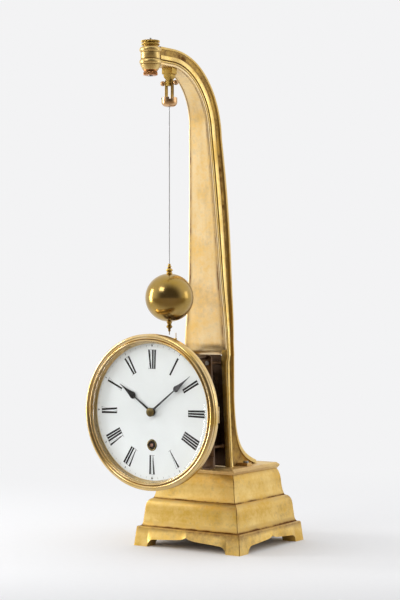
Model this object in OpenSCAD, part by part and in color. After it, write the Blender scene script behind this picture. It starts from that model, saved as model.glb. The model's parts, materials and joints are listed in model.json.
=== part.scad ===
// Conical pendulum clock: a gilt pillar bends over at the top and carries a ball
// pendulum, and the movement's upright arbor drives the pendulum's needle round.
// Millimetres. X to the right, front faces -Y, Z up. Lengths along Y and Z in the
// sections below are taken from the middle of the plinth's foot.

/* [Plinth] */
// Width and depth of the plinth at the floor
plinth_w = 133.8; // [120:0.1:150]
// Height of the foot band
band_h = 21; // [18:0.5:24]
// How far the foot band leans in
band_batter = 2.1; // [0.5:0.1:3]
// Ledge on top of the foot band
band_ledge = 3; // [2:0.1:4]
// Height to the top of the lower moulding
lower_h = 50; // [46:0.5:54]
// Height to the underside of the cap
plinth_h = 80; // [76:0.5:86]
// Width of the cap plate
cap_w = 95.4; // [92:0.1:98]
// Thickness of the cap plate
cap_t = 6; // [4:0.1:8]
// Wall of the plinth casting
plinth_wall = 7; // [5:0.1:9]
// Width of each bracket foot at the floor
foot_w = 17.5; // [14:0.5:22]
// Radius of the round corner between foot and apron
foot_r = 8; // [6:0.5:9]
// Height of the pointed arch in the middle of the apron
arch_h = 13; // [11:0.5:15]

/* [Pillar] */
// Height of the flat face's lower edge, where it rolls back
hood_z = 218; // [212:1:224]
// Y of the front face at that edge
front_y = -29.5; // [-32:0.1:-28]
// Radius of the rolled lower edge
roll_r = 11; // [9:0.5:12]
// Thickness of the front plate
plate_t = 2.6; // [2:0.1:3]
// Y of the pillar's back at the lower edge
back_y = -12.2; // [-14:0.1:-11.8]
// How far the back bulges out half way up
back_bulge = 4.6; // [3:0.1:6]
// Height where the front face starts to bend over
bend_z = 443.5; // [438:0.5:446]
// Y of the bend's centre
bend_y = -102; // [-104:0.5:-100]
// Radius of the underside of the bend
bend_r = 60; // [58:0.5:61]
// Radius of the back of the bend
bend_back_r = 86; // [84:0.5:87]
// How far the centre of the back's bend lies below the other
bend_drop = 7.5; // [6:0.5:9]
// Half width of the pillar at the bend
bend_half = 12.7; // [11:0.1:14]
// Half width lost per millimetre of height below the bend
pillar_taper = 0.05; // [0.04:0.001:0.06]
// Extra flare of the half width at the lower edge
hood_flare = 2.4; // [1:0.1:3]
// Half width of the arm at its end
arm_half = 9; // [8:0.1:10]
// Half width where the arm meets the boss
arm_tip_half = 7.3; // [6:0.1:7.4]

/* [Legs] */
// Half width across the outsides of the legs at the top
leg_top_out = 24.6; // [24:0.1:25]
// Half width across the outsides at the foot
leg_foot_out = 30; // [29:0.1:31]
// Half width between the legs at the top
leg_top_in = 19.4; // [18.8:0.1:19.6]
// Half width between the legs at the foot
leg_foot_in = 24.9; // [24:0.1:25.4]
// Y of the legs' front faces
leg_front_y = -26.6; // [-26.8:0.1:-25]
// Y of the legs' backs where they run straight
leg_back_y = -12.5; // [-13:0.1:-12]
// Y of the tip of the flared rib at the foot
rib_tip_y = 26; // [20:0.5:30]
// Height over which the rib's flare fades
rib_fade = 12; // [10:0.5:14]
// Thickness of the flared rib
rib_t = 4; // [3:0.1:5]

/* [Boss] */
// Y of the boss at the arm's end
boss_y = -131; // [-132:0.1:-130.5]
// Radius of the boss's half-round rings
boss_r = 11.3; // [11:0.1:12]
// Radius of the waist between them
boss_waist_r = 9.9; // [9:0.1:10.4]
// Radius of the clamp screw
clamp_r = 2.4; // [2:0.1:3]
// Radius of the milled nut
milled_r = 9.4; // [8.5:0.1:10]
// Radius of the lower collar nut
collar_r = 7.3; // [6.5:0.1:8]

/* [Suspension] */
// Y of the pendulum at rest
hang_y = -97; // [-98:0.1:-96]
// Height of the cross pin
pin_z = 488; // [486:0.1:490]
// Height of the pin inside the cup
cup_pin_z = 468; // [467:0.1:469]
// Width of the hanging block
block_w = 9; // [8:0.1:10]
// Half distance between the stirrup's two posts
post_x = 3.7; // [3.5:0.1:4.2]
// Radius of the suspension cup
cup_r = 8.2; // [7.5:0.1:9]
// Radius of the cross pins
pin_r = 0.9; // [0.8:0.05:1]
// Running clearance round pins and pivots
run_gap = 0.05; // [0.02:0.01:0.09]

/* [Pendulum] */
// Radius of the ball
ball_r = 25; // [22:0.1:26]
// Height of the ball's centre
ball_z = 266; // [262:0.5:270]
// Diameter of the rod
rod_d = 1; // [0.8:0.1:1.6]
// Height of the upper finial's top
finial_top_z = 301; // [297:0.5:305]
// Height of the lower finial's foot
finial_foot_z = 231; // [230:0.1:233]
// Height of the needle's tip
needle_z = 227.2; // [226.8:0.1:228]
// Radius of the carrier arm's finger about the arbor
carrier_r = 10.5; // [10:0.1:12]
// Angle of the carrier arm from the right-hand side
carrier_angle = -15; // [-20:1:-12]

/* [Dial] */
// Height of the dial's centre
dial_z = 149.5; // [147:0.5:152]
// Y of the dial's face
dial_y = -128; // [-129:0.1:-127]
// Radius of the dial
dial_r = 72.3; // [66:0.1:74]
// Thickness of the dial
dial_t = 1.6; // [1:0.1:2]
// Width of the bezel's ring outside the dial case
bezel_w = 6.1; // [5.4:0.1:7.4]
// How far the bezel's opening lies inside the dial's edge
bezel_lip = 2.3; // [1.8:0.1:3.2]
// Depth of the bezel
bezel_d = 14; // [13:0.1:15]
// Depth of the dial case behind the bezel
case_d = 8; // [7.6:0.1:10]
// Wall of the dial case
case_t = 1.1; // [0.9:0.1:1.2]
// Radius of the winding hole's grommet
grommet_r = 6; // [5:0.1:7]
// Length of the minute hand
minute_l = 60.7; // [54:0.1:62]
// Distance of the minute hand's pear from the middle
minute_pear = 39.5; // [34:0.1:44]
// Length of the hour hand
hour_l = 48; // [42:0.1:50]
// Distance of the hour hand's pear from the middle
hour_pear = 28.6; // [24:0.1:32]
// Minute hand's angle past twelve
minute_angle = 52; // [0:1:359]
// Hour hand's angle past twelve
hour_angle = 305; // [0:1:359]

/* [Movement] */
// Y of the front plate's face
front_plate_y = -50; // [-51:0.1:-49]
// Y of the back plate's back
back_plate_y = -24.5; // [-24.8:0.1:-24]
// Thickness of the movement plates
mv_plate_t = 2; // [1.6:0.1:2.4]
// Gap between the top of the plates and the pillar's rolled edge
mv_top_gap = 2; // [1.5:0.1:5]
// Half width of the front plate at the top
mv_top_half = 21; // [20:0.1:22]
// Half width of the front plate at the foot
mv_foot_half = 25; // [24:0.1:26]
// Width of the brackets that hold the plates to the cap
bracket_w = 8; // [6:0.5:9]
// Height of those brackets
bracket_h = 12; // [9:0.5:14]
// Depth of those brackets
bracket_d = 10; // [6:0.5:11]
// Height of the winding arbor
wind_z = 116; // [115:0.1:117]
// How far the plates' lower pillars lie below the winding arbor
low_pillar = 8; // [6:0.5:9]
// Radius of the barrel
barrel_r = 16.3; // [15:0.1:16.6]
// Radius of the arbors
arbor_r = 0.9; // [0.8:0.05:1]
// Module of the slow wheels
slow_module = 0.5; // [0.48:0.005:0.5]
// Module of the quick wheels
quick_module = 0.4; // [0.38:0.005:0.4]
// Module of the contrate wheel
contrate_module = 0.6; // [0.55:0.01:0.6]

/* [Hidden] */
$fn = 48;
gilt = [0.85, 0.66, 0.34];
brass = [0.78, 0.62, 0.30];
steel = [0.55, 0.57, 0.60];
blued = [0.08, 0.08, 0.12];
enamel = [0.92, 0.93, 0.92];

// The whole clock is moved along Y so that the middle of its box is the origin.
plinth_half = plinth_w / 2;
bezel_front_y = dial_y + 1 - bezel_d;
shift_y = -(plinth_half + min(bezel_front_y, boss_y - boss_r)) / 2;
module place() translate([0, shift_y, 0]) children();

// Extrusions along X and Y, and a turned shape about an axis along Y.
module along_x(x0, x1) translate([x0, 0, 0]) rotate([90, 0, 90]) linear_extrude(x1 - x0) children();
module along_y(y0, y1) translate([0, y1, 0]) rotate([90, 0, 0]) linear_extrude(y1 - y0) children();
module turned_y(fn = 96) rotate([-90, 0, 0]) rotate_extrude($fn = fn) children();
module rod_y(r, y0, y1) translate([0, y0, 0]) rotate([-90, 0, 0]) cylinder(r = r, h = y1 - y0);
module rod_x(r, x0, x1) translate([x0, 0, 0]) rotate([0, 90, 0]) cylinder(r = r, h = x1 - x0);
module rod_z(r, z0, z1) translate([0, 0, z0]) cylinder(r = r, h = z1 - z0);
function polar(r, a) = [r * cos(a), r * sin(a)];
function arc(c, r, a0, a1, n) = [for (i = [0:n]) c + polar(r, a0 + (a1 - a0) * i / n)];
function bend3(p, q, s, n) = [for (i = [0:n]) let (t = i / n)
    (1 - t) * (1 - t) * p + 2 * t * (1 - t) * q + t * t * s];
function flip(points) = [for (i = [len(points) - 1:-1:0]) [-points[i][0], points[i][1]]];

// Plinth: a hollow casting, moulded alike on its four sides.
band_top = plinth_half - band_batter;
tier_half = band_top - band_ledge;
shoulder_half = tier_half - 8.8;
neck_half = cap_w / 2 - 2.6;
edge_r = 1.8;
plinth_side = concat(
    [[plinth_half, 0]],
    arc([band_top - edge_r, band_h - edge_r], edge_r, 0, 90, 4),
    bend3([tier_half, band_h], [tier_half - 2, band_h + 1.5], [tier_half - 2.4, band_h + 7], 4),
    bend3([tier_half - 3.7, lower_h - 10], [tier_half - 4.4, lower_h - 1.5], [shoulder_half, lower_h], 7),
    bend3([shoulder_half - 1.2, lower_h + 0.6], [shoulder_half - 3.2, lower_h + 5],
          [shoulder_half - 4, lower_h + 14], 4),
    bend3([shoulder_half - 4.2, lower_h + 17], [neck_half + 3, plinth_h - 5], [neck_half, plinth_h], 4));
apron = plinth_half - foot_w;
arch_half = 12;
apron_side = concat(
    arc([apron - foot_r, 0], foot_r, 0, 90, 6),
    [[arch_half, arch_h - 3]],
    bend3([arch_half - 3, arch_h - 2.6], [2.5, arch_h - 2], [0, arch_h], 4));

module moulded(side) {
    intersection() {
        along_y(-plinth_half, plinth_half) polygon(concat(side, flip(side)));
        along_x(-plinth_half, plinth_half) polygon(concat(side, flip(side)));
    }
}
module plinth() color(gilt) place() difference() {
    moulded(plinth_side);
    lower_in = tier_half - 3.7 - plinth_wall;
    upper_in = neck_half - plinth_wall;
    translate([-lower_in, -lower_in, -1]) cube([2 * lower_in, 2 * lower_in, lower_h - plinth_wall + 1]);
    translate([-upper_in, -upper_in, 0]) cube([2 * upper_in, 2 * upper_in, plinth_h + 1]);
    cut = concat([[apron, -1]], apron_side, flip(apron_side), [[-apron, -1]]);
    along_x(-plinth_w, plinth_w) polygon(cut);
    along_y(-plinth_w, plinth_w) polygon(cut);
}

cap_half = cap_w / 2;
cap_z = plinth_h + cap_t;
module plinth_cap() color(gilt) place() difference() {
    cap_side = concat(
        [[cap_half - 1.6, plinth_h]],
        arc([cap_half - cap_t * 0.3, plinth_h + cap_t * 0.5], cap_t * 0.3, -50, 70, 5),
        [[cap_half - 2.4, cap_z]]);
    moulded(cap_side);
    foot_screw_places() rod_z(screw_r + run_gap, plinth_h - 1, cap_z + 1);
}

// Pillar: stations up the front seam and the back edge. Each station is one cut
// through the pillar, square to X.
seam_y = front_y + plate_t;
frame_foot_z = hood_z - roll_r;
straight_n = 9;
bend_n = 14;
lean = bend_y + bend_r - front_y;
back_bend = [bend_y + 1.5, bend_z - bend_drop];
back_top_y = back_bend[0] + bend_back_r;
function front_at(z) = let (f = max(0, (z - hood_z) / (bend_z - hood_z))) front_y + lean * pow(f, 1.6);
function back_at(f) = back_y + (back_top_y - back_y) * f + 4 * back_bulge * f * (1 - f);
straight_z = concat([frame_foot_z, hood_z], [for (i = [1:straight_n])
    hood_z + (bend_z - hood_z) * i / straight_n]);
function back_z(z) = z - bend_drop * max(0, z - hood_z) / (bend_z - hood_z);
bend_c = [bend_y, bend_z];
face = concat([for (z = straight_z) [front_at(z), z]],
    [for (i = [1:bend_n]) bend_c + polar(bend_r, 90 * i / bend_n)]);
seam = concat([for (z = straight_z) [front_at(z) + plate_t, z]],
    [for (i = [1:bend_n]) bend_c + polar(bend_r + plate_t, 90 * i / bend_n)]);
back = concat([for (z = straight_z) [back_at(max(0, (z - hood_z) / (bend_z - hood_z))), back_z(z)]],
    [for (i = [1:bend_n]) back_bend + polar(bend_back_r, 90 * i / bend_n)]);
arm_end_y = boss_y + sqrt(boss_r * boss_r - arm_tip_half * arm_tip_half) - 0.1;
function flare(z) = pow(max(0, (hood_z + 80 - z) / 80), 2) * hood_flare;
function half_at(z) = bend_half + max(0, bend_z - z) * pillar_taper + flare(max(z, hood_z));
half = concat([for (z = straight_z) half_at(z)],
    [for (i = [1:bend_n]) bend_half + (arm_half - bend_half) * sin(90 * i / bend_n)]);
face_tip = concat(face, [[arm_end_y, bend_z + bend_r]]);
seam_tip = concat(seam, [[arm_end_y, bend_z + bend_r + plate_t]]);
back_tip = concat(back, [[arm_end_y, back_bend[1] + bend_back_r]]);
half_tip = concat(half, [arm_tip_half]);
stations = len(face_tip);

// Half of a section, from the front corner round to the back: a bead, a narrow
// groove, a flat, a wide cavetto and a back band. h is the half width, t the depth.
function frame_wall(h) = 1.5 + 0.21 * h;
function cavetto(x, d, n0, n1, k) = [for (i = [0:k]) let (a = 180 * i / k)
    [x - d * pow(sin(a), 0.7), n0 + (n1 - n0) * (1 - cos(a)) / 2]];
function frame_half(h, t) = let (d = 0.6 * frame_wall(h)) concat(
    [[h - frame_wall(h), 0], [h - 0.8, 0], [h, 0.08 * t], [h - 0.7, 0.13 * t], [h, 0.18 * t]],
    cavetto(h, d, 0.44 * t, 0.84 * t, 6),
    [[h - 0.3, t - 0.8], [h - 1, t], [h - frame_wall(h), t]]);
function frame_ring(i) =
    let (s = seam_tip[i], e = back_tip[i], t = norm(e - s), u = (e - s) / t, h = half_tip[i],
         side = frame_half(h, t), w = h - frame_wall(h), b = t - 0.7 * frame_wall(h))
    [for (p = concat(side, flip(side), [[-w, b], [w, b]])) [p[0], s[0] + u[0] * p[1], s[1] + u[1] * p[1]]];

// Points of the casting lie on a grid of a thousandth, so that both sides are alike.
function on_grid(points) = [for (p = points) [for (v = p) round(v * 1000) / 1000]];

// Legs: the two sides go on down from the lowest station, and the cavetto widens
// into the flared rib. Each leg has half as many points to a ring as the frame.
leg_z = concat([for (d = [1, 4, 6.5, 9, 30]) frame_foot_z - d],
    [for (d = [50, 32, 23, 17, 12, 8, 4.5, 2, 0]) cap_z + d]);
leg_straight_z = frame_foot_z - 9;
bay_share = 0.55;
leg_crown = 0.06;
function leg_fall(z) = min(1, (z - cap_z) / (leg_straight_z - cap_z));
function leg_flare(z) = 1.5 * pow(max(0, (cap_z + 10 - z) / 10), 2);
function leg_step(z) = let (f = min(1, max(0, (z - leg_straight_z) / 8))) f * f * (3 - 2 * f);
function rib_back(z) = min(rib_tip_y, leg_back_y + 36 * exp(-(z - cap_z - 4) / rib_fade));
function rib_front(z) = rib_back(z + rib_t) - 2.6;
leg_join = half_at(frame_foot_z) - 0.35;
function leg_out(z) = leg_foot_out + (leg_top_out - leg_foot_out) * leg_fall(z) + leg_flare(z)
    + (leg_join - leg_top_out) * leg_step(z);
function leg_in(z) = leg_foot_in + (leg_top_in - leg_foot_in) * leg_fall(z);
function leg_half(z) =
    let (o = leg_out(z), n = leg_in(z), f = leg_front_y - leg_flare(z), b = rib_back(z))
    concat([[n, f], [o - 0.7, f], [o, f + 0.7], [o, f + 1.5], [o, f + 2.5]],
        cavetto(o, bay_share * (o - n), f + 5, rib_front(z), 6),
        [[o - 0.3, b - 0.6], [o - 0.9, b], [n, b]]);
function leg_rings(z) =
    let (side = leg_half(z), n = leg_in(z) - leg_crown, y = (leg_front_y + leg_back_y) / 2)
    [for (p = concat(side, [[n, y]], flip(side), [[-n, y]])) [p[0], p[1], z]];
ring_n = 32;
leg_n = ring_n / 2;
function leg_index(r, side, j) = r > 0 ? (stations + r - 1) * ring_n + side * leg_n + j
    : side == 1 ? leg_n - 1 + j : j < leg_n - 1 ? j : ring_n - 1;
function band(a, b) = [for (j = [0:len(a) - 1]) let (k = (j + 1) % len(a))
    each [[a[j], b[j], b[k]], [a[j], b[k], a[k]]]];
module pillar_frame() color(gilt) place() {
    rows = [for (i = [0:stations - 1]) [for (j = [0:ring_n - 1]) i * ring_n + j]];
    last = len(leg_z);
    polyhedron(
        points = on_grid(concat(
            [for (i = [0:stations - 1]) each frame_ring(i)],
            [for (z = leg_z) each leg_rings(z)])),
        faces = concat(
            [for (i = [0:stations - 2]) each band(rows[i], rows[i + 1])],
            [[for (j = [ring_n - 1:-1:0]) rows[stations - 1][j]]],
            [[ring_n - 1, leg_n - 2, leg_n - 1, ring_n - 2]],
            [for (side = [0, 1]) for (r = [1:last]) each band(
                [for (j = [0:leg_n - 1]) leg_index(r, side, j)],
                [for (j = [0:leg_n - 1]) leg_index(r - 1, side, j)])],
            [for (side = [0, 1]) [for (j = [0:leg_n - 1]) leg_index(last, side, j)]]),
        convexity = 8);
}
screw_r = 1.6;
lug_x = leg_foot_out + 6.5;
lug_y = -5;
lug_t = 3;
lug_half = 4.5;
lug_in = leg_out(cap_z) - bay_share * (leg_out(cap_z) - leg_foot_in) + run_gap;
module foot_screw_places() for (s = [-1, 1]) translate([s * lug_x, lug_y, 0]) children();
module foot_lugs() color(gilt) place() difference() {
    for (s = [0, 1]) mirror([s, 0, 0]) translate([lug_in, lug_y - lug_half, cap_z])
        cube([lug_x + lug_half - lug_in, 2 * lug_half, lug_t]);
    foot_screw_places() rod_z(screw_r + run_gap, cap_z - 1, cap_z + 10);
}

// Front plate: one sheet from the boss, down the pillar, to the rolled lower edge.
module pillar_front_plate() color(gilt) place() {
    sheet = concat([for (i = [1:stations - 1]) face_tip[i]], [for (i = [stations - 1:-1:1]) seam_tip[i]]);
    outline = concat(
        [for (i = [1:stations - 2]) [half_tip[i] - 0.3, face_tip[i][1]]],
        [[arm_half - 0.3, bend_z + bend_r + plate_t]]);
    past = 2 * half_at(hood_z);
    arm_outline = [[arm_tip_half - 0.3, arm_end_y], [arm_half - 0.3, bend_y],
        [past, bend_y + bend_r / 3], [past, 0]];
    intersection() {
        along_x(-past, past) polygon(sheet);
        along_y(arm_end_y, 0) polygon(concat(outline, flip(outline)));
        linear_extrude(2 * bend_z) polygon(concat(arm_outline, flip(arm_outline)));
    }
    roll_c = [front_y + roll_r, hood_z];
    roll_half = half_tip[1] - 0.3;
    between = roll_half + 0.3 - frame_wall(roll_half + 0.3) - 0.3;
    roll = concat(arc(roll_c, roll_r, 180, 270, 10), arc(roll_c, roll_r - plate_t, 270, 180, 10));
    intersection() {
        along_x(-roll_half, roll_half) polygon(roll);
        union() {
            translate([-past, front_y - 1, frame_foot_z - 1]) cube([2 * past, plate_t + 1, roll_r + 2]);
            translate([-between, front_y - 1, frame_foot_z - 1])
                cube([2 * between, roll_r + 2, roll_r + 2]);
        }
    }
}

screw_head_r = 3;
screw_head_t = 2;
slot_w = 0.8;
module foot_screws() color(steel) place() foot_screw_places() {
    head_z = cap_z + lug_t;
    rod_z(screw_r, plinth_h - 2 * screw_head_t, head_z);
    difference() {
        rod_z(screw_head_r, head_z, head_z + screw_head_t);
        translate([-2 * screw_head_r, -slot_w / 2, head_z + 0.6 * screw_head_t])
            cube([4 * screw_head_r, slot_w, screw_head_t]);
    }
}

// Boss: a turned socket with a flat seat for the arm, and a clamp screw down its middle.
boss_top = back_bend[1] + bend_back_r - 0.6;
boss_foot = boss_top - 24;
module arm_boss() color(gilt) place() translate([0, boss_y, 0]) difference() {
    rotate_extrude($fn = 96) polygon(concat(
        [[clamp_r + run_gap, boss_foot], [boss_r - 3.4, boss_foot], [boss_r - 0.8, boss_foot + 5]],
        arc([boss_r - 3.2, boss_foot + 8], 3.2, -50, 80, 7),
        [[boss_waist_r, boss_foot + 11.6], [boss_waist_r, boss_foot + 17.4]],
        arc([boss_r - 3, boss_foot + 20.3], 3, -70, 80, 7),
        [[boss_r - 3, boss_top], [clamp_r + run_gap, boss_top]]));
    translate([-20, arm_end_y - boss_y, boss_foot - 1]) cube([40, 20, 30]);
}
module clamp_screw() color(steel) place() translate([0, boss_y, 0]) {
    rod_z(clamp_r, boss_foot - 6.5, boss_top + 5.8);
    rod_z(1.1, boss_top + 5.8, boss_top + 8.4);
}
module knurled(r, n, depth) {
    polygon([for (i = [0:2 * n - 1]) polar(i % 2 == 0 ? r : r - depth, 180 * i / n)]);
}
module milled_nut() color(brass) place() translate([0, boss_y, boss_top + 0.1]) difference() {
    union() {
        cylinder(r = milled_r - 1.9, h = 5.6, $fn = 96);
        translate([0, 0, 1]) linear_extrude(1.3) knurled(milled_r, 40, 0.4);
        translate([0, 0, 3.8]) linear_extrude(1.8) knurled(milled_r, 40, 0.4);
    }
    translate([0, 0, -1]) cylinder(r = clamp_r + run_gap, h = 8);
}
module collar_nut() color(brass) place() translate([0, boss_y, boss_foot - 5.6]) difference() {
    union() {
        linear_extrude(3.4) knurled(collar_r, 36, 0.4);
        cylinder(r = collar_r - 0.9, h = 5.6, $fn = 96);
        translate([0, 0, 4.2]) cylinder(r = collar_r, h = 1.4, $fn = 96);
    }
    translate([0, 0, -1]) cylinder(r = clamp_r + run_gap, h = 8);
}

// Suspension: a block under the arm, a cross pin with knobs, and a stirrup that
// swings on the pin. The rod's eye swings on a second pin inside the cup.
tongue_half = 2.1;
post_t = 1.6;
block_z = pin_z + 6.3;
module suspension_block() color(brass) place() difference() {
    union() {
        difference() {
            translate([-block_w / 2, hang_y - block_w / 2, block_z]) cube([block_w, block_w, 20]);
            along_x(-30, 30) polygon(concat(
                [for (i = [straight_n + 2:stations - 1]) face_tip[i]], [[arm_end_y, 560], [0, 560]]));
        }
        hull() {
            translate([-block_w / 2, hang_y - block_w / 2, block_z]) cube([block_w, block_w, 0.01]);
            translate([-tongue_half, hang_y - 2.5, block_z - 4]) cube([2 * tongue_half, 5, 0.01]);
        }
        translate([-tongue_half, hang_y - 2.5, pin_z - 3]) cube([2 * tongue_half, 5, 5.4]);
    }
    translate([0, hang_y, pin_z]) rod_x(pin_r + 0.01, -10, 10);
}
module cross_pin() color(brass) place() translate([0, hang_y, pin_z]) {
    rod_x(pin_r, -9, 9);
    for (s = [-1, 1]) translate([s * 8.2, 0, 0]) rotate([0, s * 90, 0])
        rotate_extrude() polygon(concat(
            [[0, -2.4], [1.6, -2.4], [1.6, -1.8]], arc([0, 0], 2.7, -35, 90, 8)));
}
module stirrup() color([0.88, 0.62, 0.45]) place() translate([0, hang_y, 0]) difference() {
    floor_z = cup_pin_z - 4.6;
    rim_z = cup_pin_z + 5;
    union() {
        rotate_extrude($fn = 64) polygon(concat(
            [[1.6, floor_z]], arc([cup_r - 5, floor_z + 5], 5, -90, 0, 8),
            [[cup_r, rim_z], [cup_r - 1.2, rim_z]],
            arc([cup_r - 5, floor_z + 5], 3.8, 0, -90, 8), [[1.6, floor_z + 1.2]]));
        for (s = [-1, 1]) translate([s * post_x - post_t / 2, -2, floor_z + 1])
            cube([post_t, 4, pin_z + 3 - floor_z - 1]);
    }
    translate([0, 0, pin_z]) rod_x(pin_r + run_gap, -10, 10);
    translate([0, 0, cup_pin_z]) rod_y(pin_r + 0.01, -10, 10);
    for (a = [45:90:315]) rotate([0, 0, a]) translate([cup_r - 2.6, -1.5, rim_z - 2.2]) cube([4, 3, 3]);
}
module cup_pin() color(steel) place() translate([0, hang_y, cup_pin_z])
    rod_y(pin_r, -cup_r + 0.3, cup_r - 0.3);

// Pendulum: rod, ball and turned finials. The lower finial ends in the needle.
rod_r = rod_d / 2;
module pendulum_rod() color(steel) place() translate([0, hang_y, 0]) {
    difference() {
        union() {
            translate([0, 0, cup_pin_z]) rod_y(2, -1.6, 1.6);
            rod_z(rod_r, finial_top_z - 3, cup_pin_z - 1.2);
        }
        translate([0, 0, cup_pin_z]) rod_y(pin_r + run_gap, -4, 4);
    }
}
module turned_finial(z0, s, levels) {
    rotate_extrude() polygon(concat(
        [[0, z0]], [for (p = levels) [p[0], z0 + s * p[1]]],
        [[0, z0 + s * levels[len(levels) - 1][1]]]));
}
finial_seat = sqrt(ball_r * ball_r - 9);
upper_h = finial_top_z - ball_z - finial_seat;
module upper_finial() color(brass) place() translate([0, hang_y, 0]) difference() {
    k = upper_h / 11;
    turned_finial(ball_z + finial_seat, k, [[3, 0], [3.1, 1.6], [2.2, 2], [3.4, 3.2], [3.5, 4.4],
        [2.2, 5.8], [1.5, 6.6], [2.2, 7.4], [2.3, 8.2], [1.2, 9.2], [1.5, 9.9], [1.4, 10.5], [0.9, 11]]);
    rod_z(rod_r + 0.01, ball_z, finial_top_z + 1);
}
module ball() color([0.62, 0.46, 0.16]) place() translate([0, hang_y, ball_z]) difference() {
    sphere(r = ball_r, $fn = 96);
    translate([0, 0, finial_seat]) cylinder(r = ball_r, h = ball_r);
    mirror([0, 0, 1]) translate([0, 0, finial_seat]) cylinder(r = ball_r, h = ball_r);
}
lower_finial_h = ball_z - finial_seat - finial_foot_z;
module lower_finial() color([0.42, 0.30, 0.10]) place() translate([0, hang_y, 0]) {
    k = lower_finial_h / 10.2;
    turned_finial(ball_z - finial_seat, -k, [[2.9, 0], [2.6, 1.4], [2.1, 2.4], [2.2, 4], [3.1, 5],
        [3.1, 5.8], [2, 6.8], [1.3, 8], [1.4, 9.4], [0.9, 10.2]]);
    rod_z(0.45, needle_z, finial_foot_z + 0.5);
}

// Toothed wheels: n teeth of module m. A tooth has radial flanks below the pitch line and curved sides
// above it. turn is the angle of the middle of one tooth.
tooth_share = 0.40;
tip_share = 0.16;
function gear_points(n, m, turn, add, ded) =
    let (r = n * m / 2, w = 180 / n * tooth_share, q = 180 / n * tip_share, h = (w + q) / 2)
    [for (i = [0:n - 1]) let (a = turn + 360 * i / n) each [
        polar(r - ded * m, a - w), polar(r, a - w),
        polar(r + 0.5 * add * m, a - h), polar(r + add * m, a - q),
        polar(r + add * m, a + q), polar(r + 0.5 * add * m, a + h),
        polar(r, a + w), polar(r - ded * m, a + w)]];
module wheel(n, m, turn, y0, y1, hub_r, crossings = 4) along_y(y0, y1) difference() {
    polygon(gear_points(n, m, turn, 0.8, 1.1));
    circle(r = arbor_r);
    rim = n * m / 2 - 1.1 * m - 1.5;
    span = 180 / crossings;
    for (i = [0:crossings - 1]) rotate(turn + 360 * i / crossings) polygon(concat(
        arc([0, 0], rim, spoke_side(rim) - span, span - spoke_side(rim), 7),
        arc([0, 0], hub_r, span - spoke_side(hub_r), spoke_side(hub_r) - span, 3)));
}
function spoke_side(r) = asin(0.8 / r);
module pinion(n, m, turn, y0, y1) along_y(y0, y1) polygon(gear_points(n, m, turn, 0.6, 1.1));
module train_pinion(n, m, turn, at) pinion(n, m, turn, lay(at + wheel_t + 0.6), lay(at - 0.6));
module train_wheel(n, m, turn, at) wheel(n, m, turn, lay(at + wheel_t), lay(at), hub_r);

// Teeth of the train, from the barrel up to the crank.
great_n = 72;
second_leaves = 12;
second_n = 60;
centre_leaves = 12;
centre_n = 64;
third_leaves = 8;
third_n = 60;
fourth_leaves = 10;
fourth_n = 64;
contrate_leaves = 8;
contrate_n = 60;
crank_leaves = 6;
second_module = 0.9 * slow_module;
centre_module = second_module;
third_module = 1.05 * quick_module;

// Places of the arbors as [x, z]: each lies where its two meshes have their centres' distance.
function reach(m, a, b) = m * (a + b) / 2;
great_reach = reach(slow_module, great_n, second_leaves);
second_reach = reach(second_module, second_n, centre_leaves);
centre_reach = reach(centre_module, centre_n, third_leaves);
third_reach = reach(third_module, third_n, fourth_leaves);
fourth_reach = reach(quick_module, fourth_n, contrate_leaves);
wind_p = [0, wind_z];
centre_p = [0, dial_z];
wind_gap = dial_z - wind_z;
second_up = (pow(great_reach, 2) - pow(second_reach, 2) + wind_gap * wind_gap) / (2 * wind_gap);
second_x = -sqrt(great_reach * great_reach - second_up * second_up);
second_p = [second_x, wind_z + second_up];
third_x = -8;
third_p = [third_x, dial_z + sqrt(centre_reach * centre_reach - third_x * third_x)];
fourth_x = 4;
fourth_p = [fourth_x, third_p[1] + sqrt(third_reach * third_reach - pow(fourth_x - third_x, 2))];
contrate_p = [0, fourth_p[1] + sqrt(fourth_reach * fourth_reach - fourth_x * fourth_x)];
contrate_r = contrate_n * contrate_module / 2;
contrate_out = contrate_r + 1.2;
function bearing(p, q) = atan2(q[1] - p[1], q[0] - p[0]);
module axis_at(p) translate([p[0], 0, p[1]]) children();

// Depths of the wheels between the plates, counted forward from the back plate. Each
// pinion spans its wheel's plane with a little to spare.
inner_y = back_plate_y - mv_plate_t;
great_at = 1.6;
great_t = 1.8;
fourth_at = 4;
third_at = 8;
centre_at = 13;
second_at = 17;
wheel_t = 1.2;
function lay(d) = inner_y - d;
module arbor_of(p) axis_at(p) {
    rod_y(arbor_r, front_plate_y + mv_plate_t + 0.4, inner_y - 0.4);
    rod_y(pivot_r, front_plate_y + 0.2, back_plate_y - 0.2);
}
pivot_r = 0.55;
thick_r = arbor_r + 0.3;
hub_r = 3;

// Plates, with pivot holes for every arbor.
module mv_outline(top_half, foot_half, top_z, foot_z) {
    polygon([[-foot_half, foot_z], [foot_half, foot_z], [top_half, top_z - 2], [top_half - 2, top_z],
             [-top_half + 2, top_z], [-top_half, top_z - 2]]);
}
mv_foot_z = cap_z + 0.6;
mv_top_z = frame_foot_z - mv_top_gap;
train_axes = [second_p, third_p, fourth_p];
mv_pillar_r = 2.6;
leg_gap = 0.35;
pillar_top_z = mv_top_z - 8;
pillar_top = [leg_in(pillar_top_z) - mv_pillar_r - 0.3, pillar_top_z];
pillar_foot = [mv_foot_half - mv_pillar_r - 1.9, wind_z - low_pillar];
pillar_xz = [for (s = [-1, 1]) for (p = [pillar_top, pillar_foot]) [s * p[0], p[1]]];
module pivot_holes(y0, y1) {
    for (p = train_axes) axis_at(p) rod_y(pivot_r + run_gap, y0, y1);
    for (p = pillar_xz) axis_at(p) rod_y(1.25, y0, y1);
}
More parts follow.
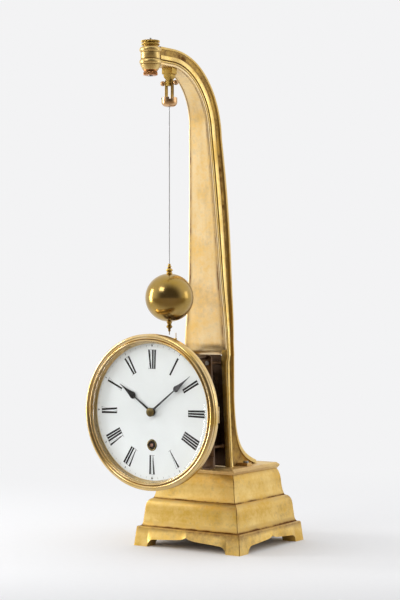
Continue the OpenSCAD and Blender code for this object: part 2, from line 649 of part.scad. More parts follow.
module movement_front_plate() color(brass) place() difference() {
    along_y(front_plate_y, front_plate_y + mv_plate_t)
        mv_outline(mv_top_half, mv_foot_half, mv_top_z, mv_foot_z);
    y0 = front_plate_y - 1;
    y1 = front_plate_y + mv_plate_t + 1;
    pivot_holes(y0, y1);
    axis_at(wind_p) rod_y(wind_r + run_gap, y0, y1);
    axis_at(centre_p) rod_y(thick_r + run_gap, y0, y1);
    axis_at(contrate_p) rod_y(thick_r + run_gap, y0, y1);
    for (p = [click_p, spring_p]) axis_at(p) rod_y(1, y0, y1);
}
module movement_back_plate() color(brass) place() difference() {
    along_y(inner_y, back_plate_y) mv_outline(
        leg_in(mv_top_z) - leg_gap, leg_in(mv_foot_z) - leg_gap, mv_top_z, mv_foot_z);
    y0 = inner_y - 1;
    y1 = back_plate_y + 1;
    pivot_holes(y0, y1);
    for (p = [wind_p, centre_p, contrate_p]) axis_at(p) rod_y(pivot_r + run_gap, y0, y1);
}
module pillars() color(brass) place() for (p = pillar_xz) axis_at(p) {
    y = front_plate_y + mv_plate_t;
    turned_y(48) polygon([[0, y], [mv_pillar_r, y], [mv_pillar_r, y + 1.5], [mv_pillar_r - 0.7, y + 3],
        [mv_pillar_r - 0.7, inner_y - 3], [mv_pillar_r, inner_y - 1.5], [mv_pillar_r, inner_y],
        [0, inner_y]]);
}
module pillar_screws() color(steel) place() for (p = pillar_xz) axis_at(p) {
    for (side = [[front_plate_y - 1.4, front_plate_y, front_plate_y + mv_plate_t],
                 [back_plate_y, back_plate_y + 1.4, inner_y]]) {
        difference() {
            rod_y(2.2, side[0], side[1]);
            slot_y = side[0] < front_plate_y ? side[0] : side[1];
            translate([-3, slot_y - 0.6, -0.3]) cube([6, 1.2, 0.6]);
        }
        rod_y(1.2, min(side[1], side[2]), max(side[0], side[2]));
    }
}
bracket_t = 1.8;
module movement_feet() color(brass) place() for (s = [-1, 1]) {
    x0 = s * (mv_foot_half - bracket_w / 2) - bracket_w / 2;
    translate([x0, front_plate_y - bracket_d, cap_z]) cube([bracket_w, bracket_d, bracket_t]);
    translate([x0, front_plate_y - bracket_t, cap_z]) cube([bracket_w, bracket_t, bracket_h]);
}

// Dial case, bars, dial, bezel, and the bezel's hinge on the right-hand side.
case_r = dial_r + 0.2 + case_t;
bezel_r = case_r + bezel_w;
bezel_in_r = dial_r - bezel_lip;
case_back_y = dial_y + dial_t + case_d;
bar_r = 2.4;
bar_top_z = mv_top_z + 0.5 - bar_r;
bar_reach = contrate_out + bar_r + 0.4;
bar_top_x = sqrt(bar_reach * bar_reach - pow(bar_top_z - contrate_p[1], 2));
bar_xz = [[bar_top_x, bar_top_z], [14, cap_z + 11]];
module bar_places() for (s = [-1, 1]) for (b = bar_xz) axis_at([s * b[0], b[1]]) children();
module dial_bars() color(brass) place() bar_places() rod_y(bar_r, case_back_y, front_plate_y);
module dial_case() color(brass) place() axis_at(centre_p) difference() {
    union() {
        turned_y(128) polygon([[2.9, motion_y], [case_r - case_t, motion_y],
            [case_r - case_t, dial_y + 0.2], [case_r, dial_y + 0.2], [case_r, case_back_y],
            [2.9, case_back_y]]);
        for (z = [-1, 1]) translate([0, 0, z * 6.1]) hinge_lug();
    }
    translate([hinge_x, hinge_y, -20]) cylinder(r = hinge_pin_r + 0.01, h = 40);
    axis_at([0, wind_z - dial_z]) rod_y(wind_r + 0.5, dial_y, case_back_y + 1);
    axis_at(motion_p - centre_p) rod_y(1.01, dial_y, case_back_y + 1);
}
hinge_y = dial_y + 3;
hinge_x = bezel_r - 2.5;
hinge_pin_r = 0.7;
knuckle_r = 1.6;
module hinge_lug() {
    translate([hinge_x, hinge_y, -2]) cylinder(r = knuckle_r, h = 4);
    translate([case_r - case_t + 0.1, hinge_y + 0.2, -2]) cube([hinge_x - case_r + case_t, 1.4, 4]);
}
module dial() color(enamel) place() axis_at(centre_p) difference() {
    rod_y_fine(dial_r, dial_y, dial_y + dial_t);
    rod_y(4.2, dial_y - 1, dial_y + 3);
    axis_at([0, wind_z - dial_z]) rod_y(grommet_r - 0.8, dial_y - 1, dial_y + 3);
}
module rod_y_fine(r, y0, y1) translate([0, y0, 0]) rotate([-90, 0, 0])
    cylinder(r = r, h = y1 - y0, $fn = 128);
module dial_pins() color(brass) place() axis_at(centre_p)
    for (a = [45:90:315]) rotate([0, a, 0]) translate([dial_r - 12, 0, 0])
        rod_y(1.5, dial_y + dial_t, motion_y);
module winding_grommet() color(brass) place() axis_at(wind_p) turned_y(64) polygon([
    [grommet_r - 1.6, dial_y - 0.5], [grommet_r - 1, dial_y - 0.7], [grommet_r, dial_y],
    [grommet_r - 0.8, dial_y], [grommet_r - 0.8, dial_y + dial_t], [grommet_r - 1.6, dial_y + dial_t]]);
bezel_back_y = dial_y + 1;
ring_r = 2.75;
glass_r = bezel_in_r + 2.6;
glass_y = bezel_front_y + 4.8;
glass_t = 1.6;
bezel_web_y = glass_y + glass_t + 1;
bezel_skirt_r = bezel_r - 1.6;
module bezel() color(brass) place() axis_at(centre_p) {
    f = bezel_front_y;
    difference() {
        turned_y(160) polygon(concat(
            [[glass_r + 0.1, glass_y], [bezel_in_r + 0.6, glass_y], [bezel_in_r, glass_y - 0.4]],
            arc([bezel_in_r + 1.5, f + 3], 1.5, 180, 350, 6),
            [[bezel_in_r + 3.5, f + 4.2], [bezel_in_r + 4.1, f + 3.4]],
            arc([bezel_r - ring_r, f + ring_r], ring_r, 185, 360, 9),
            [[bezel_r, bezel_back_y], [bezel_skirt_r, bezel_back_y], [bezel_skirt_r, bezel_web_y],
             [glass_r + 0.1, bezel_web_y]]));
        translate([hinge_x - 2, bezel_web_y, -9.2]) cube([9, 20, 18.4]);
    }
    difference() {
        union() {
            translate([hinge_x, hinge_y, -4]) cylinder(r = knuckle_r, h = 8);
            translate([hinge_x - 0.2, bezel_web_y - 0.5, -4]) cube([1.4, hinge_y - bezel_web_y + 0.5, 8]);
        }
        translate([hinge_x, hinge_y, -20]) cylinder(r = hinge_pin_r + run_gap, h = 40);
    }
}
module bezel_glass() color([0.8, 0.85, 0.88, 0.3]) place() axis_at(centre_p)
    rod_y_fine(glass_r, glass_y, glass_y + glass_t);
module glass_ring() color(brass) place() axis_at(centre_p) turned_y(128) polygon([
    [bezel_in_r + 1, glass_y + glass_t], [glass_r + 0.1, glass_y + glass_t],
    [glass_r + 0.1, bezel_web_y], [bezel_in_r + 1, bezel_web_y]]);
module hinge_pin() color(steel) place()
    translate([hinge_x, hinge_y, dial_z - 8.6]) cylinder(r = hinge_pin_r, h = 17.2);

// Crank: the upright arbor behind the dial case, in a bridge of its own.
crank_m = contrate_module;
crank_pitch_r = crank_leaves * crank_m / 2;
contrate_pitch_y = hang_y + crank_pitch_r;
mesh_z = contrate_p[1] + contrate_r;
bridge_foot_z = mesh_z - 10;
bridge_top_z = mesh_z + 8;
crank_top_z = needle_z - 3.4;
module arbor_bridge() color(brass) place() difference() {
    union() {
        translate([-7, hang_y - 7.4, bridge_foot_z - 2]) cube([14, 2.4, bridge_top_z - bridge_foot_z + 5]);
        for (z = [bridge_foot_z - 2, bridge_top_z]) translate([-5, hang_y - 5, z]) cube([10, 6.8, 3]);
        for (s = [-1, 1]) for (z = [bridge_foot_z, bridge_top_z]) translate([s * 5, 0, z + 1])
            rod_y(1.8, case_back_y, hang_y - 7.4);
    }
    translate([0, hang_y, 0]) rod_z(thick_r + run_gap, bridge_top_z - 1, bridge_top_z + 4);
    translate([0, hang_y, 0]) rod_z(pivot_r + run_gap, bridge_foot_z - 3, bridge_foot_z + 2);
}
module crank_arbor() color(steel) place() translate([0, hang_y, 0]) {
    rod_z(thick_r, mesh_z - 3, crank_top_z);
    rod_z(pivot_r, bridge_foot_z - 1.8, mesh_z - 3);
    translate([0, 0, mesh_z - 3.5]) linear_extrude(6.5)
        polygon(gear_points(crank_leaves, crank_m, 90 + 180 / crank_leaves, 0.6, 1.05));
    translate([0, 0, bridge_foot_z + 1.3]) cylinder(r = arbor_r, h = mesh_z - 3 - bridge_foot_z - 1.3);
}
module carrier() color([0.35, 0.25, 0.12]) place() translate([0, hang_y, 0]) rotate([0, 0, carrier_angle]) {
    difference() {
        rod_z(2.2, crank_top_z - 2.4, crank_top_z + 1.2);
        rod_z(thick_r + 0.01, crank_top_z - 3, crank_top_z);
    }
    translate([1.6, -0.7, crank_top_z - 0.8]) cube([carrier_r - 1.6, 1.4, 1.2]);
    translate([carrier_r, 0, 0]) rod_z(0.9, crank_top_z - 2.6, crank_top_z + 0.4);
    translate([carrier_r, 0, 0]) rod_z(0.4, crank_top_z, needle_z + 2.6);
}

// Contrate wheel: a crown of teeth that faces the crank's pinion.
module contrate_arbor() color(steel) place() axis_at(contrate_p) {
    rod_y(thick_r, contrate_pitch_y + 2, lay(third_at));
    rod_y(arbor_r, lay(third_at), inner_y - 0.4);
    rod_y(pivot_r, lay(1), back_plate_y - 0.2);
    train_pinion(contrate_leaves, quick_module, gap_turn(contrate_leaves, contrate_p, fourth_p), fourth_at);
}
module contrate_wheel() color(brass) place() axis_at(contrate_p) {
    y = contrate_pitch_y;
    crown_in = contrate_r - 1.4;
    root_y = y + 0.7;
    web_y = y + 2;
    web_t = 3.4;
    turned_y(128) polygon([[thick_r + 0.01, web_y], [hub_r, web_y], [crown_in, web_y + 0.8],
        [crown_in, root_y], [contrate_out, root_y], [contrate_out, web_y + 2],
        [hub_r, web_y + web_t], [thick_r + 0.01, web_y + web_t]]);
    w = PI * contrate_module / 2 * tooth_share;
    q = PI * contrate_module / 2 * tip_share;
    side = [[w, y + 0.8], [w, y], [q, y - 0.45]];
    for (i = [0:contrate_n - 1]) rotate([0, 360 * i / contrate_n, 0]) translate([0, 0, contrate_r - 1.2])
        linear_extrude(2.3) polygon(concat(side, flip(side)));
}

// The train's arbors and wheels. Each wheel holds a tooth towards the next pinion,
// and each pinion holds a gap there.
function gap_turn(leaves, p, q) = bearing(p, q) + 180 / leaves;
module fourth_arbor() color(steel) place() {
    arbor_of(fourth_p);
    axis_at(fourth_p)
        train_pinion(fourth_leaves, third_module, gap_turn(fourth_leaves, fourth_p, third_p), third_at);
}
module fourth_wheel() color(brass) place() axis_at(fourth_p)
    train_wheel(fourth_n, quick_module, bearing(fourth_p, contrate_p), fourth_at);
module third_arbor() color(steel) place() {
    arbor_of(third_p);
    axis_at(third_p)
        train_pinion(third_leaves, centre_module, gap_turn(third_leaves, third_p, centre_p), centre_at);
}
module third_wheel() color(brass) place() axis_at(third_p)
    train_wheel(third_n, third_module, bearing(third_p, fourth_p), third_at);
module centre_arbor() color(steel) place() axis_at(centre_p) {
    rod_y(arbor_r, lay(second_at + wheel_t), inner_y - 0.4);
    rod_y(thick_r, front_plate_y - 0.6, lay(second_at + wheel_t));
    rod_y(pivot_r, lay(1), back_plate_y - 0.2);
    train_pinion(centre_leaves, second_module, gap_turn(centre_leaves, centre_p, second_p), second_at);
}
module centre_wheel() color(brass) place() axis_at(centre_p)
    train_wheel(centre_n, centre_module, bearing(centre_p, third_p), centre_at);
module second_arbor() color(steel) place() {
    arbor_of(second_p);
    axis_at(second_p)
        pinion(second_leaves, slow_module, gap_turn(second_leaves, second_p, wind_p),
            lay(great_at + great_t + 0.6), lay(great_at - 0.6));
}
module second_wheel() color(brass) place() axis_at(second_p)
    train_wheel(second_n, second_module, bearing(second_p, centre_p), second_at);
barrel_t = 1;
barrel_at = 15;
module barrel() color(brass) place() axis_at(wind_p) {
    along_y(lay(great_at + great_t), lay(great_at)) difference() {
        polygon(gear_points(great_n, slow_module, bearing(wind_p, second_p), 0.8, 1.1));
        circle(r = wind_core_r + run_gap);
    }
    back = lay(great_at + great_t) + 0.1;
    turned_y() polygon([[barrel_r - barrel_t, back], [barrel_r, back], [barrel_r, lay(barrel_at)],
        [barrel_r - barrel_t, lay(barrel_at)]]);
}
module barrel_cover() color(brass) place() axis_at(wind_p) turned_y()
    polygon([[wind_core_r + run_gap, lay(barrel_at)], [cover_r, lay(barrel_at)],
        [cover_r, lay(barrel_at - 1)], [wind_core_r + run_gap, lay(barrel_at - 1)]]);
cover_r = barrel_r - barrel_t - 0.03;
wind_core_r = 2;
wind_r = 2.3;
spring_t = 0.4;
module mainspring() color(steel) place() axis_at(wind_p)
    along_y(lay(barrel_at - 1.6), lay(great_at + great_t + 0.6)) {
    turns = 7;
    start = wind_core_r + 1.5;
    step = (barrel_r - barrel_t - 0.8 - start) / turns;
    steps = 20 * turns;
    outer = [for (i = [0:steps]) polar(start + spring_t / 2 + step * i / 20, 18 * i)];
    inner = [for (i = [steps:-1:0]) polar(start - spring_t / 2 + step * i / 20, 18 * i)];
    polygon(concat(outer, inner));
}
module winding_arbor() color(steel) place() axis_at(wind_p) {
    rod_y(wind_core_r, lay(barrel_at + 1), inner_y - 0.4);
    rod_y(wind_core_r + 1.2, lay(barrel_at - 1.6), lay(great_at + great_t + 0.6));
    rod_y(pivot_r, lay(1), back_plate_y - 0.2);
    rod_y(wind_r, square_y, lay(barrel_at + 1));
    translate([-square_w / 2, dial_y - 0.6, -square_w / 2])
        cube([square_w, square_y - dial_y + 0.7, square_w]);
}
square_w = 3.2;
square_y = dial_y + 8;

// Click work on the front plate: the ratchet wheel and its click, drawn as the click
// passes over the tip of a tooth.
ratchet_n = 24;
ratchet_r = 8;
beak_angle = -38;
beak_reach = ratchet_r + 0.12;
click_l = 10.3;
beak_p = wind_p + polar(beak_reach, beak_angle);
click_p = beak_p + polar(click_l, beak_angle + 90);
module ratchet_wheel() color(steel) place() axis_at(wind_p)
    along_y(front_plate_y - 2, front_plate_y - 0.3) difference() {
    polygon([for (i = [0:ratchet_n - 1]) let (a = beak_angle - 2.2 + 360 * i / ratchet_n)
        each [polar(ratchet_r, a), polar(ratchet_r - 1.3, a + 1.5)]]);
    circle(r = wind_r + 0.01);
}
module click() color(steel) place() along_y(front_plate_y - 2, front_plate_y - 0.3) difference() {
    union() {
        translate(click_p) circle(r = 2.4);
        translate(beak_p) rotate(beak_angle) polygon([[0, 0], [0.8, 2], [0.5, 6], [-0.6, 7.8],
            [-2.2, click_l], [0, click_l + 2], [2.3, click_l], [click_back, click_press], [1.6, 0.4]]);
    }
    translate(click_p) circle(r = 1 + run_gap);
}

// The click's spring: an eye under a screw, and a leaf that presses on the click's back.
click_back = 2.7;
click_press = 3.2;
spring_foot = [9, click_l + 0.2];
spring_p = beak_p + [spring_foot[0] * cos(beak_angle) - spring_foot[1] * sin(beak_angle),
    spring_foot[0] * sin(beak_angle) + spring_foot[1] * cos(beak_angle)];
leaf_t = 0.45;
module click_spring() color(steel) place() along_y(front_plate_y - 2, front_plate_y) difference() {
    translate(beak_p) rotate(beak_angle) {
        tip = [click_back + run_gap, click_press];
        crook = [click_back + 2.4, click_press + 0.2];
        heel = [spring_foot[0] + 1.2, spring_foot[1] - 1.6];
        polygon(concat(bend3(tip, crook, heel, 8),
            bend3(heel + [leaf_t, 0], crook + [leaf_t, -leaf_t], tip + [0.2, -leaf_t], 8)));
        translate(spring_foot) circle(r = 2.2);
    }
    translate(spring_p) circle(r = 1);
}
module click_screw() color(steel) place() for (p = [click_p, spring_p]) axis_at(p) {
    rod_y(0.99, front_plate_y - 2.2, front_plate_y + mv_plate_t);
    difference() {
        rod_y(2, front_plate_y - 3.4, front_plate_y - 2.2);
        translate([-3, front_plate_y - 4, -0.3]) cube([6, 1.2, 0.6]);
    }
}

// Motion work inside the dial case, and the hands.
motion_m = 0.5;
cannon_n = 12;
minute_n = 36;
minute_leaves = 10;
hour_n = 40;
motion_reach = reach(motion_m, cannon_n, minute_n);
hour_m = 2 * motion_reach / (minute_leaves + hour_n);
motion_p = centre_p + polar(motion_reach, 20);
motion_y = case_back_y - 1.5;
module minute_arbor() color(steel) place() axis_at(centre_p) {
    rod_y(1.4, dial_y - 5.2, front_plate_y - 1);
    pinion(cannon_n, motion_m, gap_turn(cannon_n, centre_p, motion_p), motion_y - 2.4, motion_y - 0.4);
}
module motion_stud() color(steel) place() axis_at(motion_p) rod_y(1, dial_y + dial_t + 0.3, case_back_y);
module minute_wheel() color(brass) place() axis_at(motion_p) difference() {
    union() {
        along_y(motion_y - 2, motion_y - 0.8)
            polygon(gear_points(minute_n, motion_m, bearing(motion_p, centre_p), 0.8, 1.1));
        pinion(minute_leaves, hour_m, gap_turn(minute_leaves, motion_p, centre_p),
            motion_y - 4.6, motion_y - 2);
    }
    rod_y(1 + run_gap, dial_y, case_back_y);
}
module hour_wheel() color(brass) place() axis_at(centre_p) difference() {
    union() {
        along_y(motion_y - 4.2, motion_y - 3)
            polygon(gear_points(hour_n, hour_m, bearing(centre_p, motion_p), 0.8, 1.1));
        rod_y(2.6, dial_y - 1.5, motion_y - 3);
    }
    rod_y(1.4 + run_gap, dial_y - 4, case_back_y);
}

// Pear-shaped hands: a tapered stem, a solid pear and a pointed tip.
module pear_hand(length, pear_at, pear_w, hub_r) {
    circle(r = hub_r);
    polygon([[-1.2, 0], [1.2, 0], [0.6, pear_at], [-0.6, pear_at]]);
    translate([0, pear_at]) circle(r = pear_w);
    shoulder = [pear_w * 0.96, pear_at + pear_w * 0.28];
    neck = [0.9, pear_at + pear_w * 2.2];
    side = bend3(shoulder, neck, [0.15, length], 6);
    polygon(concat(side, flip(side)));
}
module hour_hand() color(blued) place() axis_at(centre_p)
    along_y(dial_y - 1.5, dial_y - 0.7) difference() {
    rotate(-hour_angle) pear_hand(hour_l, hour_pear, 3.3, 4.2);
    circle(r = 2.61);
}
module minute_hand() color(blued) place() axis_at(centre_p)
    along_y(dial_y - 3.4, dial_y - 2.6) difference() {
    rotate(-minute_angle) pear_hand(minute_l, minute_pear, 2.7, 3.6);
    circle(r = 1.41);
}
module hand_collet() color(brass) place() axis_at(centre_p) difference() {
    turned_y(48) polygon(concat([[0, dial_y - 3.4], [4.6, dial_y - 3.4], [4.6, dial_y - 3.9]],
        bend3([4.5, dial_y - 4], [4.2, dial_y - 5.4], [2, dial_y - 5.6], 5), [[0, dial_y - 5.6]]));
    rod_y(1.41, dial_y - 5.2, dial_y);
}

plinth();
plinth_cap();
pillar_frame();
pillar_front_plate();
foot_lugs();
foot_screws();
arm_boss();
clamp_screw();
milled_nut();
collar_nut();
suspension_block();
cross_pin();
stirrup();
cup_pin();
pendulum_rod();
upper_finial();
ball();
lower_finial();
movement_front_plate();
movement_back_plate();
pillars();
pillar_screws();
movement_feet();
dial_bars();
dial_case();
dial();
dial_pins();
winding_grommet();
arbor_bridge();
motion_stud();
click_screw();
click();
click_spring();
bezel();
bezel_glass();
glass_ring();
hinge_pin();
crank_arbor();
carrier();
contrate_arbor();
contrate_wheel();
fourth_arbor();
fourth_wheel();
third_arbor();
third_wheel();
centre_arbor();
centre_wheel();
second_arbor();
second_wheel();
barrel();
barrel_cover();
mainspring();
winding_arbor();
ratchet_wheel();
minute_arbor();
minute_hand();
hand_collet();
minute_wheel();
hour_wheel();
hour_hand();
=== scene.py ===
"""Dresses the packed conical pendulum clock: castings, turned work, dial, finishes and stage.

Lengths in the shape functions are millimetres from the middle of the plinth's foot, with X to the
right, the front facing -Y and Z up. placed() turns them into the frame's metres.
"""

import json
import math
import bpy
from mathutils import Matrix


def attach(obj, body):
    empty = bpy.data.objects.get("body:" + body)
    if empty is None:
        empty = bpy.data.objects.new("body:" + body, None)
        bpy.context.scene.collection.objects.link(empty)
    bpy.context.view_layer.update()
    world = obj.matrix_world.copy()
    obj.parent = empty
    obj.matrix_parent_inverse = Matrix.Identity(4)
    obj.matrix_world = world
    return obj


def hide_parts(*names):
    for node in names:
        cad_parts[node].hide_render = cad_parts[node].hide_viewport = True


bl_info = {
    "name": "Conical pendulum clock",
    "version": (1, 0, 0),
    "blender": (4, 5, 0),
    "location": "3D View > Sidebar > Clock",
    "description": "Makes the clock's castings, turned work, dial, finishes and stage",
    "category": "Object",
}

import bpy
import numpy as np
from bpy.props import FloatProperty, FloatVectorProperty, IntProperty, PointerProperty
from bpy.types import Operator, Panel, PropertyGroup

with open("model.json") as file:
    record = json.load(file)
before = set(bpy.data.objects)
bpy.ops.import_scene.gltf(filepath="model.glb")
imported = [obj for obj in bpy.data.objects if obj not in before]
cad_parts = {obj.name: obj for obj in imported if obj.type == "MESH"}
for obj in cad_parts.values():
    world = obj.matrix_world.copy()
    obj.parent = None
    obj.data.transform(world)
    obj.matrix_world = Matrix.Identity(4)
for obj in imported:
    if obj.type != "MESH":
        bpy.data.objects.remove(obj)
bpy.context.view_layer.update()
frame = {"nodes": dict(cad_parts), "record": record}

MM = 0.001
PLINTH_HALF = 66.9
CAP_HALF = 47.7
CAP_FOOT_Z, CAP_TOP_Z = 80.0, 86.0
FRONT_PLATE_T = 2.6
HOOD_Z, ROLL_R = 218.0, 13.3
FACE_Y, BACK_Y, BACK_BULGE = -29.5, -12.2, 6.8
BEND_Y, BEND_Z, BEND_R = -102.0, 443.5, 60.0
BACK_BEND_R, BEND_DROP = 86.0, 7.5
BEND_HALF, ARM_HALF, ARM_TIP_HALF = 12.7, 9.0, 7.3
BOSS_Y, BOSS_R, BOSS_WAIST_R, SCREW_BORE = -131.0, 11.3, 9.9, 2.45
HANG_Y, CROSS_PIN_Z, CUP_PIN_Z = -97.0, 488.0, 468.0
BALL_Z, BALL_R = 266.0, 25.0
BALL_SEAT = math.sqrt(BALL_R ** 2 - 3.0 ** 2)
FINIAL_TOP_Z, FINIAL_FOOT_Z = 301.0, 231.0
DIAL_Y, DIAL_Z = -128.0, 149.5
BEZEL_R, OPENING_R = 79.7, 68.9
BEZEL_FRONT, PANE_Y, CUT_Y = DIAL_Y - 8.8, DIAL_Y - 7.1, DIAL_Y - 3.25
HINGE_X, HINGE_Y = BEZEL_R - 2.5, DIAL_Y + 3.0
WIND_Z = 116.0
BOSS_TOP = BEND_Z - BEND_DROP + BACK_BEND_R - 0.6
BOSS_HEIGHT = 24.0
BOSS_FOOT = BOSS_TOP - BOSS_HEIGHT
ARM_END_Y = BOSS_Y + math.sqrt(BOSS_R ** 2 - ARM_TIP_HALF ** 2) - 0.1
HOOD_FOOT_Z = HOOD_Z - ROLL_R
SHIFT_Y = -(PLINTH_HALF + BOSS_Y - BOSS_R) / 2


def tone(red, green, blue):
    """Scene-linear colour of a display colour whose channels run from 0 to 255."""
    channels = np.array([red, green, blue]) / 255.0
    linear = np.where(channels <= 0.04045, channels / 12.92, ((channels + 0.055) / 1.055) ** 2.4)
    return tuple(float(c) for c in linear)


def length(name, text, millimetres, low, high):
    """A length property, kept in metres."""
    return FloatProperty(name=name, description=text, default=millimetres * MM, min=low * MM,
                         max=high * MM, unit="LENGTH", precision=4)


def power(name, text, watts):
    """A lamp's power."""
    return FloatProperty(name=name, description=text, default=watts, min=0.0, max=200.0,
                         unit="POWER")


def rotation(name, text, degrees):
    """An angle property, kept in radians."""
    return FloatProperty(name=name, description=text, default=math.radians(degrees),
                         min=0.0, max=2 * math.pi, subtype="ANGLE")


def colour(name, text, red, green, blue):
    """A colour property, whose default is given as a display colour."""
    return FloatVectorProperty(name=name, description=text, default=tone(red, green, blue), size=3,
                               min=0.0, max=1.0, subtype="COLOR")


class CastingSettings(PropertyGroup):
    """Plinth and pillar."""
    corner: length("Corner radius", "Radius of the castings' corners", 0.55, 0.1, 2.0)
    plate_edge: length("Plate edge", "Radius of the front plate's edges", 0.8, 0.1, 1.2)
    gold: colour("Gilding", "Colour of the clean gilding", 211, 170, 78)
    pale: colour("Bright gilding", "Colour where the gilding is lightest", 242, 213, 142)
    # This brown also darkens the hollows, where it is painted shade as well as tarnish.
    brown: colour("Tarnish", "Colour that the gilding takes in its hollows", 104, 62, 14)
    worn: colour("Worn gilding", "Colour of the metal on the plinth's worn edges", 108, 62, 32)
    dust: colour("Dust", "Colour of the dust on the cap's top", 206, 170, 116)
    pits: FloatProperty(name="Pits", description="How many small pits the gilding has", default=0.5,
                        min=0.0, max=1.0, subtype="FACTOR")


class TurnedSettings(PropertyGroup):
    """Turned and polished brass."""
    satin: colour("Satin brass", "Colour of the bezel and the nuts", 218, 180, 92)
    # This brown also darkens the grooves, where it is painted shade as well as tarnish.
    satin_brown: colour("Satin tarnish", "Tarnish of the bezel and the nuts", 78, 52, 16)
    polish: colour("Polished brass", "Colour of the ball", 172, 140, 62)
    # The movement's colour is darkened as painted shade: it stands for the shade between the plates
    # under the dial.
    movement: colour("Movement brass", "Colour of the movement's plates and wheels", 84, 58, 30)
    rose: colour("Rose brass", "Colour of the suspension's cup", 206, 156, 92)
    steel: colour("Steel", "Colour of arbors, pins and screws", 150, 150, 152)
    knurls: IntProperty(name="Knurls", description="Teeth round the milled nut", default=40,
                        min=24, max=60)


class DialSettings(PropertyGroup):
    """Enamel dial, its figures and the hands."""
    figure_out: length("Figures' outer radius", "Radius of the figures' tops", 63.2, 60.0, 65.0)
    figure_in: length("Figures' inner radius", "Radius of the figures' feet", 43.7, 40.0, 50.0)
    bar: length("Bar width", "Width of a figure's bar", 2.15, 1.2, 2.4)
    gap: length("Bar gap", "Gap between two bars", 0.7, 0.4, 1.4)
    track_out: length("Track's outer radius", "Outer end of the minute marks", 67.8, 66.6, 68.4)
    track_in: length("Track's inner radius", "Inner end of the minute marks", 66.0, 64.0, 66.5)
    enamel: colour("Enamel", "Colour of the dial", 232, 237, 237)
    ink: colour("Black", "Colour of the figures", 15, 15, 17)
    hour_at: rotation("Hour hand", "Angle of the hour hand past twelve", 305)
    minute_at: rotation("Minute hand", "Angle of the minute hand past twelve", 52)


class StageSettings(PropertyGroup):
    """Floor, lights and camera."""
    paper: colour("Paper", "Colour of floor and background", 243, 243, 244)
    left: power("Left light", "Power of the large light on the left", 8.5)
    right: power("Right light", "Power of the light on the right", 1.0)
    top: power("Top light", "Power of the light above", 2.6)
    azimuth: rotation("Camera azimuth", "Angle of the camera round the clock", 33.2)
    lens: FloatProperty(name="Lens", description="Focal length of the camera", default=92.64,
                        min=20.0, max=300.0, unit="CAMERA")


# Shapes: points and faces as whole arrays.

def rounded(points, radius, steps=4, ring=False):
    """Corners eased: corner p becomes the curve (1-t)^2 a + 2t(1-t) p + t^2 c, where a and c lie
    the radius away from p along its two sides, and never past 0.45 of a side."""
    p = np.asarray(points, float)
    before, after = np.roll(p, 1, 0) - p, np.roll(p, -1, 0) - p
    sides = np.linalg.norm(before, axis=1), np.linalg.norm(after, axis=1)
    cut = np.minimum(radius, 0.45 * np.minimum(*sides))[:, None]
    a = p + before / np.maximum(sides[0], 1e-9)[:, None] * cut
    c = p + after / np.maximum(sides[1], 1e-9)[:, None] * cut
    t = np.linspace(0, 1, steps + 1)[None, :, None]
    curve = (1 - t) ** 2 * a[:, None] + 2 * t * (1 - t) * p[:, None] + t ** 2 * c[:, None]
    if ring:
        return curve.reshape(-1, p.shape[1])
    return np.concatenate([p[:1], curve[1:-1].reshape(-1, p.shape[1]), p[-1:]])


def flowing(points, steps=6):
    """Smooth curve through the points: a Catmull-Rom span between each two."""
    p = np.asarray(points, float)
    ends = np.concatenate([2 * p[:1] - p[1:2], p, 2 * p[-1:] - p[-2:-1]])
    a, b, c, d = ends[:-3, None], ends[1:-2, None], ends[2:-1, None], ends[3:, None]
    t = np.linspace(0, 1, steps, endpoint=False)[None, :, None]
    curve = 0.5 * (2 * b + (c - a) * t + (2 * a - 5 * b + 4 * c - d) * t ** 2
                   + (3 * b - a - 3 * c + d) * t ** 3)
    return np.concatenate([curve.reshape(-1, p.shape[1]), p[-1:]])


def arc(centre, radius, start, end, steps):
    """Points of a circle from one angle to another, in degrees."""
    a = np.radians(np.linspace(start, end, steps + 1))
    return np.stack([centre[0] + radius * np.cos(a), centre[1] + radius * np.sin(a)], 1)


def curve3(p, q, s, steps):
    """Quadratic curve from p towards q to s: (1-t)^2 p + 2t(1-t) q + t^2 s."""
    t = np.linspace(0, 1, steps + 1)[:, None]
    return (1 - t) ** 2 * np.array(p) + 2 * t * (1 - t) * np.array(q) + t ** 2 * np.array(s)


def smooth(t):
    """A smooth step from 0 to 1: 3t^2 - 2t^3."""
    return t ** 2 * (3 - 2 * t)


def rectangle(x, y, z, radius, steps):
    """Ring of a rectangle with eased corners and half sides x and y, at height z."""
    ring = rounded([(-x, -y), (x, -y), (x, y), (-x, y)], radius, steps, ring=True)
    return np.column_stack([ring, np.full(len(ring), z)])


def wear(profile, reach, ring):
    """Hollowness and edge of a profile. Each point is set against the mean of its neighbours,
    weighted by exp(-(arc distance / reach)^2): a mean that lies outside makes a hollow, and one
    that lies inside makes an edge. Both run from 0 to 1."""
    p = np.asarray(profile, float)
    step = np.linalg.norm(np.roll(p, -1, 0) - p, axis=1)
    total = step.sum() if ring else step[:-1].sum()
    at = np.concatenate([[0.0], np.cumsum(step[:-1])])
    apart = np.abs(at[:, None] - at[None, :])
    if ring:
        apart = np.minimum(apart, total - apart)
    weight = np.exp(-(apart / reach) ** 2) * np.maximum(step, 1e-6)[None, :]
    mean = (weight @ p) / weight.sum(1, keepdims=True)
    along = np.roll(p, -1, 0) - np.roll(p, 1, 0)
    if not ring:
        along[0], along[-1] = p[1] - p[0], p[-1] - p[-2]
    out = np.stack([along[:, 1], -along[:, 0]], 1)
    out /= np.maximum(np.linalg.norm(out, axis=1, keepdims=True), 1e-9)
    x, y = p.T
    area = 0.5 * (x * np.roll(y, -1) - np.roll(x, -1) * y).sum()
    depth = ((mean - p) * out).sum(1) / reach * (1.0 if area > 0 else -1.0)
    hollow_gain, edge_gain = 3.4, 3.0
    return np.clip(depth * hollow_gain, 0, 1), np.clip(-depth * edge_gain, 0, 1)


